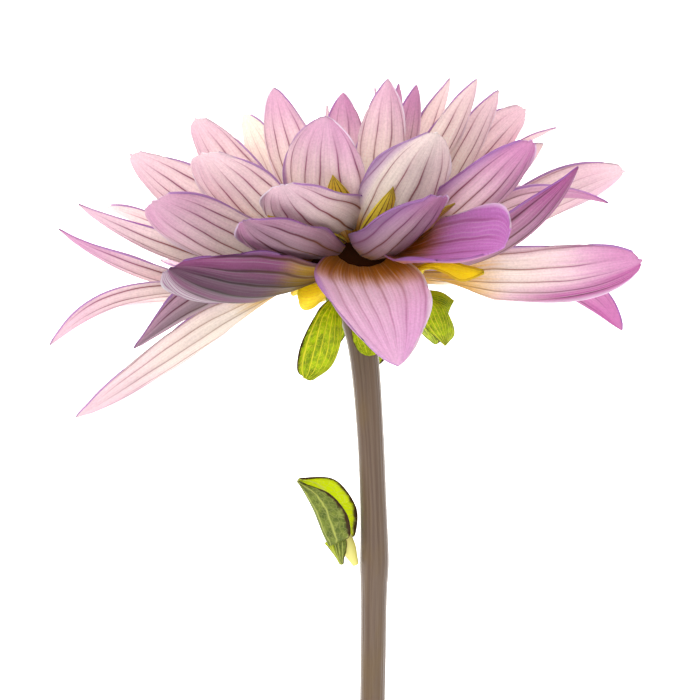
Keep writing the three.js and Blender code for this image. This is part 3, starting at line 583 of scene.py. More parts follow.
def joined(pieces, name):
    nothing_selected()
    for piece in pieces:
        piece.select_set(True)
    bpy.context.view_layer.objects.active = pieces[0]
    bpy.ops.object.join()
    whole = bpy.context.active_object
    whole.name = whole.data.name = name
    return whole


def thickened(piece, thickness, materials):
    """Gives a sheet its thickness. Its upper face, lower face and margin take the materials."""
    piece.data.materials.clear()
    for material in materials:
        piece.data.materials.append(material)
    wall = piece.modifiers.new("Wall", "SOLIDIFY")
    wall.thickness = thickness
    wall.offset = 0
    wall.material_offset = 1
    wall.material_offset_rim = 2
    bpy.context.view_layer.objects.active = piece
    bpy.ops.object.modifier_apply(modifier=wall.name)
    set_points(piece, points_of(piece) / MM - HEAD)
    nothing_selected()
    piece.select_set(True)
    bpy.ops.object.shade_smooth()
    return piece


def placed(piece, node_name):
    """Hands a finished piece to the frame."""
    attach(piece, "root")
    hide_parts(node_name)


def shaped_petal(sheet, row, number, sizes):
    """One ray petal: the common blade with its ribs, waved margins, veins and marks."""
    name = row[0]
    look = LOOKS.get(name, COMMON_LOOK)
    violet, painted_shade, blush, stripes, curl_a, curl_b, frost, gold, band, flush = look
    draw = random.Random(1000 + number)
    blade = petal_blade(row, (curl_a, curl_b))
    u, v = sheet_places(sheet)
    points, normals, half = blade_surface(blade, u, v)
    count = 0.8 + blade["width"] / RIB_SPACING
    phase = draw.uniform(-0.5, 0.5)
    uneven = draw.uniform(0.1, 0.3)
    lines = count * (v + uneven / np.pi * np.sin(np.pi * v + draw.uniform(0, 6.28))) + phase
    body = smooth(u, 0.03, 0.3) * (1 - smooth(u, 0.9, 1)) * (1 - smooth(np.abs(v), 0.8, 1))
    ribs = -sizes.rib_height / MM * np.cos(2 * np.pi * lines) * body * np.minimum(1, half / 7)
    waves = 0
    for side in (v < 0, v >= 0):
        waves += side * np.sin(2 * np.pi * u * draw.uniform(1.2, 2.6) + draw.uniform(0, 6))
    waves *= sizes.margin_wave / MM * np.abs(v) ** 3 * smooth(u, 0.2, 0.5) * np.minimum(1, half / 6)
    if name.startswith(MIDDLE_KINDS):
        blush = 0.8
    blush = np.clip(blush + draw.uniform(-0.12, 0.12), 0, 1)
    # the painted shade is deepest along the middle
    painted_shade = painted_shade * (0.45 + 0.75 * np.exp(-(((v - 0.1) / 0.5) ** 2)))
    # the violet margin is the upper one as the flower stands, and the colour deepens at the other
    upper_side = 1 if row[1] < -10 else -1
    violet = violet + flush * smooth(-upper_side * v, 0, 0.7) * smooth(u, 0.3, 0.75)
    # a pale strip on the far margin where it turns under, painted as a highlight
    strip = 0.75 * frost * smooth(-v, 0.3, 0.65) * smooth(u, 0.3, 0.55)
    return marked_copy(
        sheet, "petal_" + name, points + normals * (ribs + waves)[:, None], (lines, u),
        hue=(violet, painted_shade, blush, gold), marks=(stripes, strip, (upper_side * v + 1) / 2, band),
    )


# Materials


def vein_lines(add, line, wobble, times, width):
    """Thin lines along a blade: 1 on a vein and 0 between two, times per unit of the vein map."""
    moved = add("Math", {0: line, 1: wobble}, operation="ADD")
    counted = add("Math", {0: moved, 1: times}, operation="MULTIPLY")
    away = add("Math", {0: counted, 1: 0.5}, operation="PINGPONG")
    return add("MapRange", {"Value": away, "From Min": width, "From Max": 0.0}, **SMOOTHLY)


def drawn_out(add, places, scale, detail):
    """A soft cloudy pattern that is drawn out where a number of its scale is smaller."""
    stretch = add("Mapping", {"Vector": places, "Scale": scale})
    return add("TexNoise", {"Vector": stretch, "Scale": 1.0, "Detail": detail})


def blade_reads(add):
    """What a blade's pattern reads: the vein map and its two numbers, and both marks' four."""
    veins = add("UVMap", uv_map="veins")
    line, along, _ = add("SeparateXYZ", {"Vector": veins}, ALL)
    marks = []
    for name in ("hue", "marks"):
        colour, _, _, alpha = add("Attribute", out=ALL, attribute_name=name)
        marks.append((*add("SeparateColor", {"Color": colour}, ALL), alpha))
    return veins, line, along, *marks


def lit_tissue(add, colour, glow, through, finish):
    """Ends a plant tissue: its skin, mixed with the light that comes through it."""
    skin = {"Base Color": colour, "IOR": TISSUE_IOR, **finish, **through}
    solid = add("BsdfPrincipled", skin)
    light = add("BsdfTranslucent", {"Color": colour, **through})
    both = add("MixShader", {0: glow, 1: solid, 2: light})
    add("OutputMaterial", {"Surface": both})


def blade_skin(name, skin):
    """A thin plant tissue that lets light through, with thin lines along it.

    skin holds its colours at the root and, partly painted shade, where it leaves the core, in the
    body, the blush, the violet, the painted highlight and the rim, those of the lines in the body,
    at the tip, in the violet and at the root, and the numbers for the rim, the lines, the relief and
    the light through it.
    """
    material, add = fresh_material(name)
    veins, line, along, hue, marks = blade_reads(add)
    (violet, painted_shade, blushing, gold), (stripes, strip, side, band) = hue, marks
    place = add("TexCoord", out="Object")

    # streaks of the cells, about 0.4 mm apart and long along the blade
    streaks = drawn_out(add, veins, (9.0, 2.2, 1.0), 4.0)
    # slow change over the flower head, about 9 mm from light to dark
    clouds = add("TexNoise", {"Vector": place, "Scale": 110.0, "Detail": 2.0})

    # the lines sway a little, have a soft halo that is stronger in the violet, and end before the
    # tip, and finer ones run between them
    sway = drawn_out(add, veins, (0.6, 3.0, 1.0), 1.0)
    wobble = add("MapRange", {"Value": sway, "To Min": -0.25, "To Max": 0.25})
    thin = vein_lines(add, line, wobble, 1.0, skin["vein_width"])
    halo = vein_lines(add, line, wobble, 1.0, 0.24)
    fine = vein_lines(add, line, wobble, 4.0, 0.3)
    strength = {"Value": streaks, "From Min": 0.35, "From Max": 0.55, "To Min": 0.45}
    main = add("Math", {0: thin, 1: add("MapRange", strength)}, operation="MULTIPLY")
    spread = add("Math", {0: violet, 1: 0.5, 2: 0.25}, operation="MULTIPLY_ADD")
    main = add("Math", {0: halo, 1: spread, 2: main}, operation="MULTIPLY_ADD")
    main = add("Math", {0: main, 1: stripes}, operation="MULTIPLY")
    fading = add("MapRange", {"Value": along, "From Min": 1.0, "From Max": 0.72}, **SMOOTHLY)
    main = add("Math", {0: main, 1: fading}, operation="MULTIPLY", use_clamp=True)

    # ragged end of the gold at the root, and a deeper amber, partly painted shade, where the petal
    # leaves the core
    ragged = add("Math", {0: streaks, 1: 0.2, 2: along}, operation="MULTIPLY_ADD")
    ends = add("Math", {0: gold, 1: 0.1}, operation="ADD")
    starts = add("Math", {0: gold, 1: 0.6, 2: 0.05}, operation="MULTIPLY_ADD")
    rooty = add("MapRange", {"Value": ragged, "From Min": ends, "From Max": starts}, **SMOOTHLY)
    deep = {"Value": ragged, "From Min": gold, "From Max": 0.14, "To Max": 0.9}
    deep = add("MapRange", deep, **SMOOTHLY)
    # the blush is strongest at the tip, weaker at the margins, and comes and goes in patches
    tipward = add("MapRange", {"Value": ragged, "From Min": 0.58, "From Max": 1.08}, **SMOOTHLY)
    beside = add("Math", {0: side, 1: 0.5}, operation="SUBTRACT")
    beside = add("Math", {0: beside}, operation="ABSOLUTE")
    beside = {"Value": beside, "From Min": 0.25, "From Max": 0.52, "To Max": 0.45}
    beside = add("MapRange", beside, **SMOOTHLY)
    tipward = add("Math", {0: tipward, 1: beside}, operation="MAXIMUM")
    tipward = add("Math", {0: tipward, 1: blushing}, operation="MULTIPLY")
    patch = add("MapRange", {"Value": clouds, "From Min": 0.4, "From Max": 0.75, "To Max": 0.12})
    blush = add("Math", {0: tipward, 1: patch}, operation="ADD", use_clamp=True)

    body = add("Mix", {0: blush, 6: skin["body"], 7: skin["blush"]}, **COLOURS)
    far = add("MapRange", {"Value": tipward, "From Min": 0.5, "From Max": 1.0, "To Max": 0.35})
    far = add("Math", {0: far, 1: violet}, operation="ADD", use_clamp=True)
    body = add("Mix", {0: far, 6: body, 7: skin["violet"]}, **COLOURS)
    root = add("Mix", {0: deep, 6: skin["root"], 7: skin["deep_root"]}, **COLOURS)
    body = add("Mix", {0: rooty, 6: body, 7: root}, **COLOURS)

    # the lines deepen with the petal, and turn golden brown some way before the gold begins
    vein = add("Mix", {0: blush, 6: skin["vein"], 7: skin["tip_vein"]}, **COLOURS)
    vein = add("Mix", {0: violet, 6: vein, 7: skin["violet_vein"]}, **COLOURS)
    golden = add("MapRange", {"Value": ragged, "From Min": 0.85, "From Max": 0.3}, **SMOOTHLY)
    vein = add("Mix", {0: golden, 6: vein, 7: skin["root_vein"]}, **COLOURS)
    weak = add("Math", {0: fine, 1: skin["fine"]}, operation="MULTIPLY")
    weak = add("Math", {0: weak, 1: streaks}, operation="MULTIPLY")
    body = add("Mix", {0: weak, 6: body, 7: vein}, **COLOURS)

    # silky threads 0.15 mm wide and bumps of the skin 0.5 mm wide, both coarser than the cells
    threads = drawn_out(add, veins, (30.0, 5.0, 1.0), 3.0)
    silk = {"Value": threads, "From Min": 0.3, "From Max": 0.7, "To Min": 0.92, "To Max": 1.1}
    grain = add("TexNoise", {"Vector": place, "Scale": 2000.0, "Detail": 1.0})
    grain = {"Value": grain, "From Min": 0.3, "From Max": 0.7, "To Min": 0.95, "To Max": 1.08}
    silk = {0: add("MapRange", silk), 1: add("MapRange", grain)}
    silk = add("Math", silk, operation="MULTIPLY")
    body = add("HueSaturation", {"Color": body, "Value": silk})
    lined = add("Mix", {0: main, 6: body, 7: vein}, **COLOURS)

    # painted highlights on the ridges between the lines, clearest on the violet petals
    aside = add("Math", {0: wobble, 1: 0.125}, operation="ADD")
    ridge_highlight = vein_lines(add, line, aside, 4.0, 0.18)
    broken = add("MapRange", {"Value": streaks, "From Min": 0.42, "From Max": 0.58})
    ridge_highlight = add("Math", {0: ridge_highlight, 1: broken}, operation="MULTIPLY")
    much = add("Math", {0: violet, 1: 0.25, 2: 0.06}, operation="MULTIPLY_ADD")
    ridge_highlight = add("Math", {0: ridge_highlight, 1: much}, operation="MULTIPLY")
    lined = add("Mix", {0: ridge_highlight, 6: lined, 7: skin["frost"]}, **COLOURS)

    # the upper margin ends in a violet line and the other one in a pale line, a painted rim
    # highlight
    inner = add("Math", {0: band, 1: -0.09, 2: 0.983}, operation="MULTIPLY_ADD")
    rim = {"Value": side, "From Min": inner, "To Max": skin["rim_strength"]}
    lined = add("Mix", {0: add("MapRange", rim), 6: lined, 7: skin["rim"]}, **COLOURS)
    pale = add("MapRange", {"Value": side, "From Min": 0.035, "From Max": 0.0, "To Max": 0.7})
    lined = add("Mix", {0: pale, 6: lined, 7: skin["frost"]}, **COLOURS)
    # pale strip where the margin turns under, painted as a highlight with fine lines in it
    frosted = add("Mix", {0: fine, 6: skin["frost"], 7: skin["tip_vein"]}, **COLOURS)
    lined = add("Mix", {0: strip, 6: lined, 7: frosted}, **COLOURS)
    # painted shade darkens the whole colour
    dark = add("MapRange", {"Value": painted_shade, "To Min": 1.0, "To Max": 0.25})
    lined = add("HueSaturation", {"Color": lined, "Value": dark})

    rise = add("Math", {0: streaks, 1: 0.5, 2: main}, operation="MULTIPLY_ADD")
    relief = {"Height": rise, "Strength": skin["relief"], "Distance": 0.3 * MM}
    finish = {"Roughness": 0.45, "Specular IOR Level": 0.4}
    finish |= {"Sheen Weight": 0.15, "Sheen Roughness": 0.4}
    lit_tissue(add, lined, skin["glow"], {"Normal": add("Bump", relief)}, finish)
    return material


def blade_colours(colour, vein, **others):
    """The skin of a blade of one colour with lines of one other, apart from what others says."""
    parts = ("root", "deep_root", "body", "blush", "violet", "frost", "rim")
    lines = ("vein", "tip_vein", "violet_vein", "root_vein")
    return {**dict.fromkeys(parts, colour), **dict.fromkeys(lines, vein), **others}


def petal_materials(colours):
    """Living ray petals, soft and velvety: the upper face, the lower face and the margin."""
    upper = blade_colours(
        colours.petal_gold, colours.petal_upper_vein, root_vein=colours.petal_root_vein,
        body=colours.petal_lilac, blush=colours.petal_magenta, violet=colours.petal_violet,
        frost=colours.petal_frost, rim=colours.petal_margin, rim_strength=0.8,
        vein_width=0.12, fine=0.25, relief=0.2, glow=0.5,
    )
    lower = dict(
        upper, root=colours.petal_straw, deep_root=colours.petal_shaded_amber,
        body=colours.petal_cream, blush=colours.petal_pink, violet=colours.petal_mauve,
        vein=colours.petal_vein, tip_vein=colours.petal_tip_vein,
        violet_vein=colours.petal_dark_vein, vein_width=0.068, fine=0.14, relief=0.25,
    )
    # the margin's own faces take the painted highlight colour
    margin = dict(upper, body=colours.petal_frost, blush=colours.petal_frost, relief=0.1)
    return [
        blade_skin("Ray petal, velvety upper face", upper),
        blade_skin("Ray petal, striped lower face", lower),
        blade_skin("Ray petal, thin violet margin", margin),
    ]


def leaf_skin(name, body, shadow, lit, vein, rim, net, glow):
    """A lit green leaf: pale veins along it, a net of finer ones between them and a dark rim."""
    material, add = fresh_material(name)
    veins, line, _, (lit_share, *_), (_, _, side, _) = blade_reads(add)
    place = add("TexCoord", out="Object")
    # darker patches about 2 mm wide
    patches = add("TexNoise", {"Vector": place, "Scale": 600.0, "Detail": 3.0})

    sway = drawn_out(add, veins, (0.8, 5.0, 1.0), 2.0)
    wobble = add("MapRange", {"Value": sway, "To Min": -0.35, "To Max": 0.35})
    main = vein_lines(add, line, wobble, 1.0, 0.15)
    # cells of the net are about 0.8 mm long and 0.4 mm wide
    cells = add("Mapping", {"Vector": veins, "Scale": (3.2, 20.0, 1.0)})
    cells = {"Vector": cells, "Scale": 1.0, "Randomness": 0.9}
    cells = add("TexVoronoi", cells, "Distance", feature="DISTANCE_TO_EDGE")
    cells = {"Value": cells, "From Min": 0.1, "From Max": 0.0, "To Max": net}
    lines = add("Math", {0: main, 1: add("MapRange", cells, **SMOOTHLY)}, operation="MAXIMUM")

    patch = add("MapRange", {"Value": patches, "From Min": 0.35, "From Max": 0.65})
    skin = add("Mix", {0: patch, 6: body, 7: shadow}, **COLOURS)
    skin = add("Mix", {0: lit_share, 6: skin, 7: lit}, **COLOURS)
    skin = add("Mix", {0: lines, 6: skin, 7: vein}, **COLOURS)
    # the margin has dried to a thin brown line
    edge = add("Math", {0: patches, 1: 0.05, 2: side}, operation="MULTIPLY_ADD")
    edge = add("MapRange", {"Value": edge, "From Min": 0.99, "From Max": 1.015}, **SMOOTHLY)
    skin = add("Mix", {0: edge, 6: skin, 7: rim}, **COLOURS)
    relief = add("Bump", {"Height": lines, "Strength": 0.5, "Distance": 0.3 * MM})
    finish = {"Roughness": 0.42, "Specular IOR Level": 0.4}
    lit_tissue(add, skin, glow, {"Normal": relief}, finish)
    return material


def stem_skin_material(colours):
    """A ridged stem with fine pale hairs: dark streaks along it and a soft light at its sides."""
    material, add = fresh_material("Stem, ridged skin with fine hairs")
    place = add("TexCoord", out="Object")
    around = add("Attribute", out="Vector", attribute_name="around")
    # streaks are about 0.5 mm wide and 25 mm long
    streaks = drawn_out(add, around, (6.0, 6.0, 40.0), 3.0)
    share = add("MapRange", {"Value": streaks, "From Min": 0.3, "From Max": 0.7}, **SMOOTHLY)
    skin = add("Mix", {0: share, 6: colours.stem_dark, 7: colours.stem_brown}, **COLOURS)
    # patches are about 5 mm wide and 25 mm long
    patches = drawn_out(add, place, (200.0, 40.0, 200.0), 3.0)
    warm = {"Value": patches, "From Min": 0.45, "From Max": 0.7, "To Max": 0.5}
    warm = add("MapRange", warm, **SMOOTHLY)
    skin = add("Mix", {0: warm, 6: skin, 7: colours.stem_olive}, **COLOURS)
    relief = add("Bump", {"Height": streaks, "Strength": 0.6, "Distance": 0.4 * MM})
    hairs = {"Sheen Weight": 1.0, "Sheen Roughness": 0.3}
    finish = {"Roughness": 0.5, "Specular IOR Level": 0.35, "Normal": relief, **hairs}
    solid = add("BsdfPrincipled", {"Base Color": skin, "IOR": TISSUE_IOR, **finish})
    add("OutputMaterial", {"Surface": solid})
    return material


def plain_skin(name, colour, roughness, glow, gloss=0.5):
    """A plain even plant tissue."""
    material, add = fresh_material(name)
    lit_tissue(add, colour, glow, {}, {"Roughness": roughness, "Specular IOR Level": gloss})
    return material


def colour_property(name, description, code):
    return bpy.props.FloatVectorProperty(
        name=name, description=description, default=linear(code), size=4, min=0.0, max=1.0,
        subtype="COLOR",
    )


def length_property(name, description, length):
    return bpy.props.FloatProperty(
        name=name, description=description, default=length * MM, unit="LENGTH", subtype="DISTANCE"
    )


class DahliaSizes(bpy.types.PropertyGroup):
    petal_thickness: length_property("Petal thickness", "Thickness of a ray petal", 0.35)
    bract_thickness: length_property("Bract thickness", "Thickness of a bract and of a leaf", 0.5)
    rib_height: length_property("Rib height", "How far the ribs of a petal stand out", 0.16)
    margin_wave: length_property("Margin wave", "How far the margin of a petal waves", 0.45)


class DahliaColours(bpy.types.PropertyGroup):
    petal_cream: colour_property("Cream", "Lower face of a petal", "#fffbec")
    petal_pink: colour_property("Pink", "Lower face towards the tip", "#e8c0d8")
    petal_mauve: colour_property("Mauve", "Lower face of the violet petals", "#c26ca4")
    petal_straw: colour_property("Straw", "Lower face at the root", "#f8c418")
    petal_vein: colour_property("Vein", "Stripes of the lower face", "#a0685e")
    petal_tip_vein: colour_property("Tip vein", "Stripes towards the tip", "#b46ca4")
    petal_root_vein: colour_property("Root vein", "Stripes at the root", "#9c6430")
    petal_dark_vein: colour_property("Dark vein", "Stripes of the violet petals", "#68304c")
    # partly painted shade: the lower face deepens to amber where it leaves the core
    petal_shaded_amber: colour_property("Amber", "Lower face where it leaves the core", "#c47c08")
    petal_lilac: colour_property("Lilac", "Upper face of a petal", "#fff6f2")
    petal_magenta: colour_property("Magenta", "Upper face towards the tip", "#efc6e2")
    petal_violet: colour_property("Violet", "Upper face of the violet petals", "#d07fd8")
    petal_gold: colour_property("Gold", "Upper face at the root", "#a8701a")
    petal_upper_vein: colour_property("Upper vein", "Stripes of the upper face", "#b4609f")
    # painted highlight: the pale strip, the pale ridges and the pale margin line
    petal_frost: colour_property("Painted highlight", "Pale strip where a margin turns under", "#fbf5f8")
    petal_margin: colour_property("Margin", "Thin edge of a petal", "#b27cc0")
    scale_gold: colour_property("Golden scale", "Scales between the petals", "#ffec50")
    scale_brown: colour_property("Scale stripe", "Stripes and tips of the scales", "#7a4a12")
    # painted shade: the core's flesh is as dark as the hole among the petals
    core_painted_shade: colour_property("Core", "Core painted dark as shade", "#2a1204")
    core_olive: colour_property("Core, under side", "Flesh next to the bracts", "#8a8c2c")
    inner_bract: colour_property("Inner bract", "Yellow inner bracts", "#fff040")
    inner_bract_root: colour_property("Inner bract root", "Inner bracts at the root", "#f0d43a")
    inner_bract_rim: colour_property("Inner bract rim", "Margin of the inner bracts", "#b58c1a")
    outer_bract: colour_property("Outer bract", "Green outer bracts", "#c6e000")
    outer_bract_shadow: colour_property("Bract shadow", "Darker patches of the bracts", "#7e9c00")
    outer_bract_vein: colour_property("Bract vein", "Veins of the outer bracts", "#fff648")
    dry_rim: colour_property("Dry rim", "Brown line at the margin of a leaf", "#4d3413")
    stem_brown: colour_property("Stem", "Skin of the stem", "#6b594a")
    stem_dark: colour_property("Stem streak", "Dark streaks of the stem", "#5b483b")
    stem_olive: colour_property("Stem patch", "Olive patches of the stem", "#6b5636")
    leaf_green: colour_property("Leaf", "Blade of the stem's leaf", "#9aa84a")
    leaf_shadow: colour_property("Leaf shadow", "Darker patches of the leaf", "#70803a")
    leaf_lit: colour_property("Lit leaf", "Half of the leaf that the light comes through", "#dce80a")
    leaf_vein: colour_property("Leaf vein", "Veins of the stem's leaf", "#dbe07a")
    leaf_stalk: colour_property("Leaf stalk", "Pale stalk of the stem's leaf", "#ece690")
    floor_pale: colour_property("Floor", "Plain floor", "#f4f3f1")


class DAHLIA_OT_ray_petals(bpy.types.Operator):
    """Add the ray petals of every row, and the small ones that close the middle"""

    bl_idname = "dahlia.ray_petals"
    bl_label = "Ray petals"

    def execute(self, context):
        sizes = context.scene.dahlia_sizes
        materials = petal_materials(context.scene.dahlia_colours)
        fine, plain = flat_sheet(34, 36), flat_sheet(16, 24)
        tiers = {}
        for number, row in enumerate(all_petals()):
            sheet = plain if row[0].startswith(("rear", *MIDDLE_KINDS)) else fine
            tiers.setdefault(row[-1], []).append(shaped_petal(sheet, row, number, sizes))
        for tier, petals in sorted(tiers.items()):
            whole = joined(petals, f"petals_row_{tier + 1}")
            placed(thickened(whole, sizes.petal_thickness, materials), "bloom")
        removed(fine)
        removed(plain)
        return {"FINISHED"}


def core_ball(colours):
    """The core, a ball that is drawn to its profile, painted dark above as shade and olive towards
    the bracts.
    """
    nothing_selected()
    bpy.ops.mesh.primitive_uv_sphere_add(segments=40, ring_count=20, radius=1)
    core = bpy.context.active_object
    core.name = core.data.name = "core"
    ball = points_of(core)
    profile = [(0.0, CORE[0][1])] + CORE + [(0.0, CORE[-1][1] + 0.3)]
    lengths = np.cumsum([0] + [math.dist(a, b) for a, b in zip(profile, profile[1:])])
    share = np.arccos(np.clip(ball[:, 2], -1, 1)) / np.pi
    radius, height = (np.interp(share * lengths[-1], lengths, side) for side in zip(*profile))
    turn = np.arctan2(ball[:, 1], ball[:, 0])
    set_points(core, np.stack([radius * np.cos(turn), height, radius * np.sin(turn)], 1))
    # the upper flesh is painted dark as the shade in the hole among the petals
    for material in (
        plain_skin("Core, flesh painted dark as shade", colours.core_painted_shade, 0.8, 0.0, gloss=0.05),
        plain_skin("Core, olive flesh", colours.core_olive, 0.6, 0.0, gloss=0.2),
    ):
        core.data.materials.append(material)
    for face in core.data.polygons:
        face.material_index = int(face.center.y / MM - HEAD[1] < CORE_OLIVE_BELOW)
    edited(bpy.ops.mesh.normals_make_consistent, inside=False)
    bpy.ops.object.shade_smooth()
    return core


class DAHLIA_OT_core(bpy.types.Operator):
    """Add the core that the petals grow from and the golden scales on it"""

    bl_idname = "dahlia.core"
    bl_label = "Core and scales"

    def execute(self, context):
        sizes, colours = context.scene.dahlia_sizes, context.scene.dahlia_colours
        placed(core_ball(colours), "bloom")
        sheet = flat_sheet(12, 18)
        u, v = sheet_places(sheet)
        scales = []
        for number, (x, y, z, width, sag, painted_shade) in enumerate(SCALES):
            # a stiff narrow blade that stands against the petal behind it
            blade = radial_blade(
                (x, y, z), *SCALE_ROOT, width=width, widest=0.4, point=1.1, sag_root=sag,
                sag_tip=sag * 0.6, cup=0.8, neck=0.6, curl=(0, 0), curl_turn=1.0,
            )
            # the scales deep between the petals get painted shade
            scales.append(marked_copy(
                sheet, f"scale_{number}", blade_surface(blade, u, v)[0], (2.4 * v, 0.72 * u),
                hue=(0, painted_shade, smooth(u, 0.85, 1), 0), marks=(1, 0, 0.5, 0),
            ))
        removed(sheet)
        # dry and papery, with dark lines that run together at its tip
        skin = blade_colours(
            colours.scale_gold, colours.scale_brown, deep_root=colours.inner_bract_root,
            blush=colours.scale_brown, rim_strength=0.0,
            vein_width=0.14, fine=0.1, relief=0.4, glow=0.35,
        )
        gold = blade_skin("Golden scale, papery", skin)
        whole = joined(scales, "golden_scales")
        placed(thickened(whole, sizes.petal_thickness, [gold] * 3), "bloom")
        return {"FINISHED"}


def blade_bracts(sheet, name, rows, root):
    """The plain bracts of a whorl, one copy of the sheet for each row of the table."""
    u, v = sheet_places(sheet)
    pieces = []
    for number, (x, y, z, width, sag_root, sag_tip, roll) in enumerate(rows):
        blade = radial_blade(
            (x, y, z), *root, width=width, widest=0.62, point=0.55, sag_root=sag_root,
            sag_tip=sag_tip, roll=roll, cup=0.5, neck=0.5, curl=(0.5, 0.5), curl_turn=1.2,
        )
        pieces.append(marked_copy(
            sheet, f"{name}_{number}", blade_surface(blade, u, v)[0], (3.0 * v, u),
            hue=(0, 0, 0.3, 0.2), marks=(1, 0, (1 + np.abs(v)) / 2, 0),
        ))
    return pieces


def folded_leaves(sheet, table, lines, wave, lit=0.0):
    """Leaves that fold along their middle, one copy of the sheet for each row of the table.

    lit says how much light comes through the far half of each.
    """
    u, v = sheet_places(sheet)
    leaves = []
    for number, (name, edges) in enumerate(table.items()):
        points = folded_surface(edges, u, v)
        # soft blisters between the veins, and a waved margin
        blisters = 0.12 * np.cos(2 * np.pi * lines * v) * smooth(u, 0.05, 0.3)
        waves = np.abs(v) ** 3 * np.sin(19 * u + 2 * number + v) * (1 - smooth(u, 0.9, 1))
        points[:, 2] += blisters + wave * waves
        leaves.append(marked_copy(
            sheet, f"folded_{name}", points, (lines * v, u),
            hue=(lit * smooth(v, 0, 0.4), 0, 0.3, 0.2), marks=(1, 0, (1 + np.abs(v)) / 2, 0),
        ))
    return leaves


def bract_disc(name, disc, material):
    """The disc that a whorl of bracts stands on."""
    radius, low, high = disc
    nothing_selected()
    bpy.ops.mesh.primitive_cylinder_add(vertices=48, radius=1, depth=2)
    plate = bpy.context.active_object
    plate.name = plate.data.name = name + "_disc"
    edited(bpy.ops.mesh.bevel, offset=0.12, segments=3, affect="EDGES")
    x, z, y = points_of(plate).T
    y = (low + high) / 2 + y * (high - low) / 2
    set_points(plate, np.stack([x * radius, y, -z * radius], 1))
    plate.data.materials.append(material)
    bpy.ops.object.shade_smooth()
    return plate


def whorl(grid, name, skin, rows, root, folded, folded_lines, thickness):
    """The bracts of one kind, plain and folded, as one piece."""
    sheet = flat_sheet(*grid)
    blades = blade_bracts(sheet, name, rows, root)
    blades += folded_leaves(sheet, folded, folded_lines, 0.15)
    removed(sheet)
    return thickened(joined(blades, name), thickness, [skin] * 3)


class DAHLIA_OT_inner_bracts(bpy.types.Operator):
    """Add the thin yellow bracts under the petals"""

    bl_idname = "dahlia.inner_bracts"
    bl_label = "Inner bracts"

    def execute(self, context):
        sizes, colours = context.scene.dahlia_sizes, context.scene.dahlia_colours
        root, name = colours.inner_bract_root, "inner_bracts_fine"
        # thin, so it glows, with weak lines
        skin = blade_colours(
            colours.inner_bract, root, root=root, deep_root=root, rim=colours.inner_bract_rim,
            rim_strength=0.6, vein_width=0.1, fine=0.3, relief=0.3, glow=0.55,
        )
        skin = blade_skin("Inner bract, yellow membrane", skin)
        rows = (INNER_BRACTS, INNER_ROOT, FOLDED_INNER, 4.0)
        bracts = whorl((16, 28), name, skin, *rows, sizes.bract_thickness)
        placed(bracts, "inner_bracts")
        flesh = plain_skin("Inner disc, yellow flesh", root, 0.45, 0.2)
        placed(bract_disc(name, INNER_DISC, flesh), "inner_bracts")
        return {"FINISHED"}


class DAHLIA_OT_outer_bracts(bpy.types.Operator):
    """Add the green leafy bracts round the top of the stem"""

    bl_idname = "dahlia.outer_bracts"
    bl_label = "Outer bracts"

    def execute(self, context):
        sizes, colours = context.scene.dahlia_sizes, context.scene.dahlia_colours
        name = "outer_bracts_fine"
        skin = leaf_skin(
            "Outer bract, green leaf", body=colours.outer_bract, shadow=colours.outer_bract_shadow,
            lit=colours.outer_bract_vein, vein=colours.outer_bract_vein, rim=colours.dry_rim,
            net=0.55, glow=0.5,
        )
        rows = (OUTER_BRACTS, OUTER_ROOT, FOLDED_BRACTS, 4.6)
        bracts = whorl((26, 36), name, skin, *rows, sizes.bract_thickness)
        placed(bracts, "outer_bracts")
        flesh = plain_skin("Outer disc, green flesh", colours.outer_bract_shadow, 0.45, 0.1)
        placed(bract_disc(name, OUTER_DISC, flesh), "outer_bracts")
        return {"FINISHED"}


def set_around(rod, stations):
    """For each point of a rod, its direction from the middle line and its place along, in metres."""
    table = np.array(sorted(stations, key=lambda row: row[1]), float)
    places = points_of(rod) / MM - HEAD
    middle = [np.interp(places[:, 1], table[:, 1], table[:, k]) for k in (0, 2)]
    aside = np.stack([places[:, 0] - middle[0], places[:, 2] - middle[1]], 1)
    aside = unit(np.where(np.abs(aside) < 1e-6, 1e-6, aside))
    layer = rod.data.attributes.new("around", "FLOAT_VECTOR", "POINT")
    values = np.stack([aside[:, 0], aside[:, 1], places[:, 1] * MM], 1)
    layer.data.foreach_set("vector", values.astype(np.float32).ravel())


def tube_along(stations, name, material):
    """A round rod through stations of x, y, z and radius, with its ends closed."""
    nothing_selected()
    bpy.ops.curve.primitive_nurbs_path_add()
    path = bpy.context.active_object
    while len(path.data.splines[0].points) > len(stations):
        bpy.ops.object.mode_set(mode="EDIT")
        bpy.ops.curve.select_all(action="DESELECT")
        path.data.splines[0].points[-1].select = True
        bpy.ops.curve.delete(type="VERT")
        bpy.ops.object.mode_set(mode="OBJECT")
    spline = path.data.splines[0]
    spline.points.add(len(stations) - len(spline.points))
    for point, (*place, radius) in zip(spline.points, stations):
        point.co = (*((np.array(place) + HEAD) * MM), 1.0)
        point.radius = radius
    spline.order_u = 3
    spline.use_endpoint_u = True
    path.data.resolution_u = 6
    path.data.bevel_depth = MM
    path.data.bevel_resolution = 10
    path.data.use_fill_caps = True
    bpy.ops.object.convert(target="MESH")
    rod = bpy.context.active_object
    rod.name = rod.data.name = name
    set_points(rod, points_of(rod) / MM - HEAD)
    set_around(rod, stations)
    rod.data.materials.clear()
    rod.data.materials.append(material)
    bpy.ops.object.shade_smooth_by_angle(angle=math.radians(50))
    return rod


class DAHLIA_OT_stem(bpy.types.Operator):
    """Add the bare stem with its swelling"""

    bl_idname = "dahlia.stem"
    bl_label = "Stem"

    def execute(self, context):
        skin = stem_skin_material(context.scene.dahlia_colours)
        placed(tube_along(STEM, "stem_skin", skin), "stem")
        return {"FINISHED"}


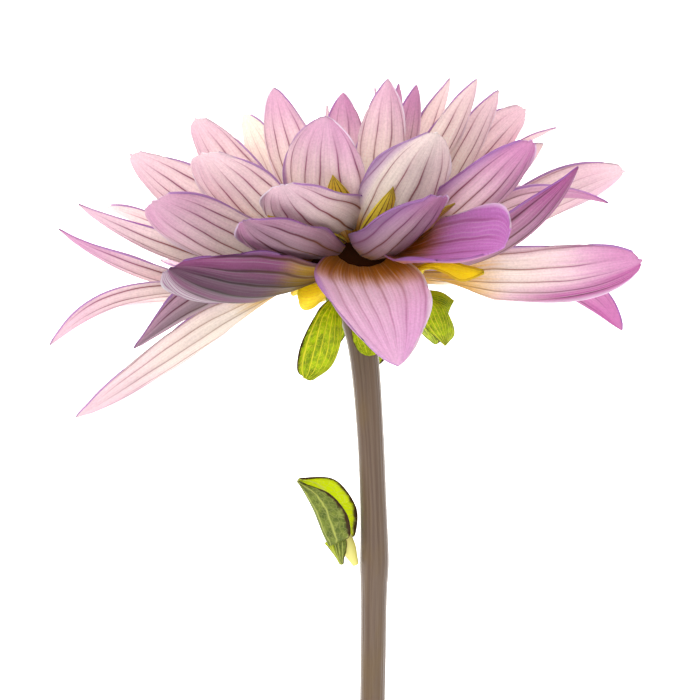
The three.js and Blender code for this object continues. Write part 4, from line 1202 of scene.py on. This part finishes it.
class DAHLIA_OT_stem_leaf(bpy.types.Operator):
    """Add the young leaf at the swelling of the stem"""

    bl_idname = "dahlia.stem_leaf"
    bl_label = "Stem leaf"

    def execute(self, context):
        sizes, colours = context.scene.dahlia_sizes, context.scene.dahlia_colours
        skin = leaf_skin(
            "Stem leaf, young green blade", body=colours.leaf_green, shadow=colours.leaf_shadow,
            lit=colours.leaf_lit, vein=colours.leaf_vein, rim=colours.dry_rim, net=0.4, glow=0.55,
        )
        sheet = flat_sheet(30, 36)
        whole = joined(folded_leaves(sheet, FOLDED_LEAF, 3.0, 0.2, lit=1.0), "stem_leaf_fine")
        removed(sheet)
        placed(thickened(whole, sizes.bract_thickness, [skin] * 3), "stem_leaf")
        pale = plain_skin("Leaf stalk, pale and moist", colours.leaf_stalk, 0.4, 0.4)
        placed(tube_along(LEAF_STALK, "leaf_stalk", pale), "stem_leaf")
        return {"FINISHED"}


class DAHLIA_OT_stage(bpy.types.Operator):
    """Add the pale floor, the soft lights and the camera"""

    bl_idname = "dahlia.stage"
    bl_label = "Stage"

    def execute(self, context):
        scene, pale = context.scene, context.scene.dahlia_colours.floor_pale
        nothing_selected()
        bpy.ops.mesh.primitive_plane_add(size=8)
        floor = bpy.context.active_object
        floor.name = "floor"
        # matt and evenly bright, so that no edge of the board shows
        material, add = fresh_material("Floor, matt white board")
        board = {"Base Color": pale, "Roughness": 0.9}
        board |= {"Emission Color": pale, "Emission Strength": 1.2}
        add("OutputMaterial", {"Surface": add("BsdfPrincipled", board)})
        floor.data.materials.append(material)

        lights = []
        for name, place, power in LIGHTS:
            bpy.ops.object.light_add(type="AREA", location=place)
            light = bpy.context.active_object
            light.name = name
            light.data.shape = "SQUARE"
            light.data.size = LIGHT_SIZE
            light.data.energy = power
            x, y, z = np.array(LIT_POINT) - np.array(place)
            light.rotation_euler = (math.atan2(math.hypot(x, y), -z), 0.0, math.atan2(-x, y))
            lights.append(light)

        scene.world = bpy.data.worlds.new("Even white light")
        scene.world.use_nodes = True
        background = scene.world.node_tree.nodes["Background"]
        background.inputs["Color"].default_value = linear("#ffffff")
        background.inputs["Strength"].default_value = 0.6

        bpy.ops.object.camera_add(location=CAMERA_PLACE, rotation=(0, 0, 0))
        scene.camera = bpy.context.active_object
        scene.camera.data.sensor_width = 36.0
        scene.camera.data.lens = LENS
        scene.camera.data.clip_end = 50.0
        scene.view_settings.view_transform = "Standard"
        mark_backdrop(floor, *lights)
        return {"FINISHED"}


class DAHLIA_PT_pieces(bpy.types.Panel):
    """Pieces of the dahlia"""

    bl_idname = "DAHLIA_PT_pieces"
    bl_label = "Cut dahlia"
    bl_space_type = "VIEW_3D"
    bl_region_type = "UI"
    bl_category = "Dahlia"

    def draw(self, context):
        for operator in OPERATORS:
            self.layout.operator(operator.bl_idname)
        for group in (context.scene.dahlia_sizes, context.scene.dahlia_colours):
            for name in group.bl_rna.properties.keys():
                if name not in ("rna_type", "name"):
                    self.layout.prop(group, name)


OPERATORS = (
    DAHLIA_OT_ray_petals,
    DAHLIA_OT_core,
    DAHLIA_OT_inner_bracts,
    DAHLIA_OT_outer_bracts,
    DAHLIA_OT_stem,
    DAHLIA_OT_stem_leaf,
    DAHLIA_OT_stage,
)
CLASSES = (DahliaSizes, DahliaColours, *OPERATORS, DAHLIA_PT_pieces)


def register():
    for kind in CLASSES:
        bpy.utils.register_class(kind)
    bpy.types.Scene.dahlia_sizes = bpy.props.PointerProperty(type=DahliaSizes)
    bpy.types.Scene.dahlia_colours = bpy.props.PointerProperty(type=DahliaColours)


def unregister():
    del bpy.types.Scene.dahlia_colours
    del bpy.types.Scene.dahlia_sizes
    for kind in reversed(CLASSES):
        bpy.utils.unregister_class(kind)


def main():
    register()
    bpy.ops.dahlia.ray_petals()
    bpy.ops.dahlia.core()
    bpy.ops.dahlia.inner_bracts()
    bpy.ops.dahlia.outer_bracts()
    bpy.ops.dahlia.stem()
    bpy.ops.dahlia.stem_leaf()
    bpy.ops.dahlia.stage()
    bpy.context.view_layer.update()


if __name__ == "__main__":
    main()
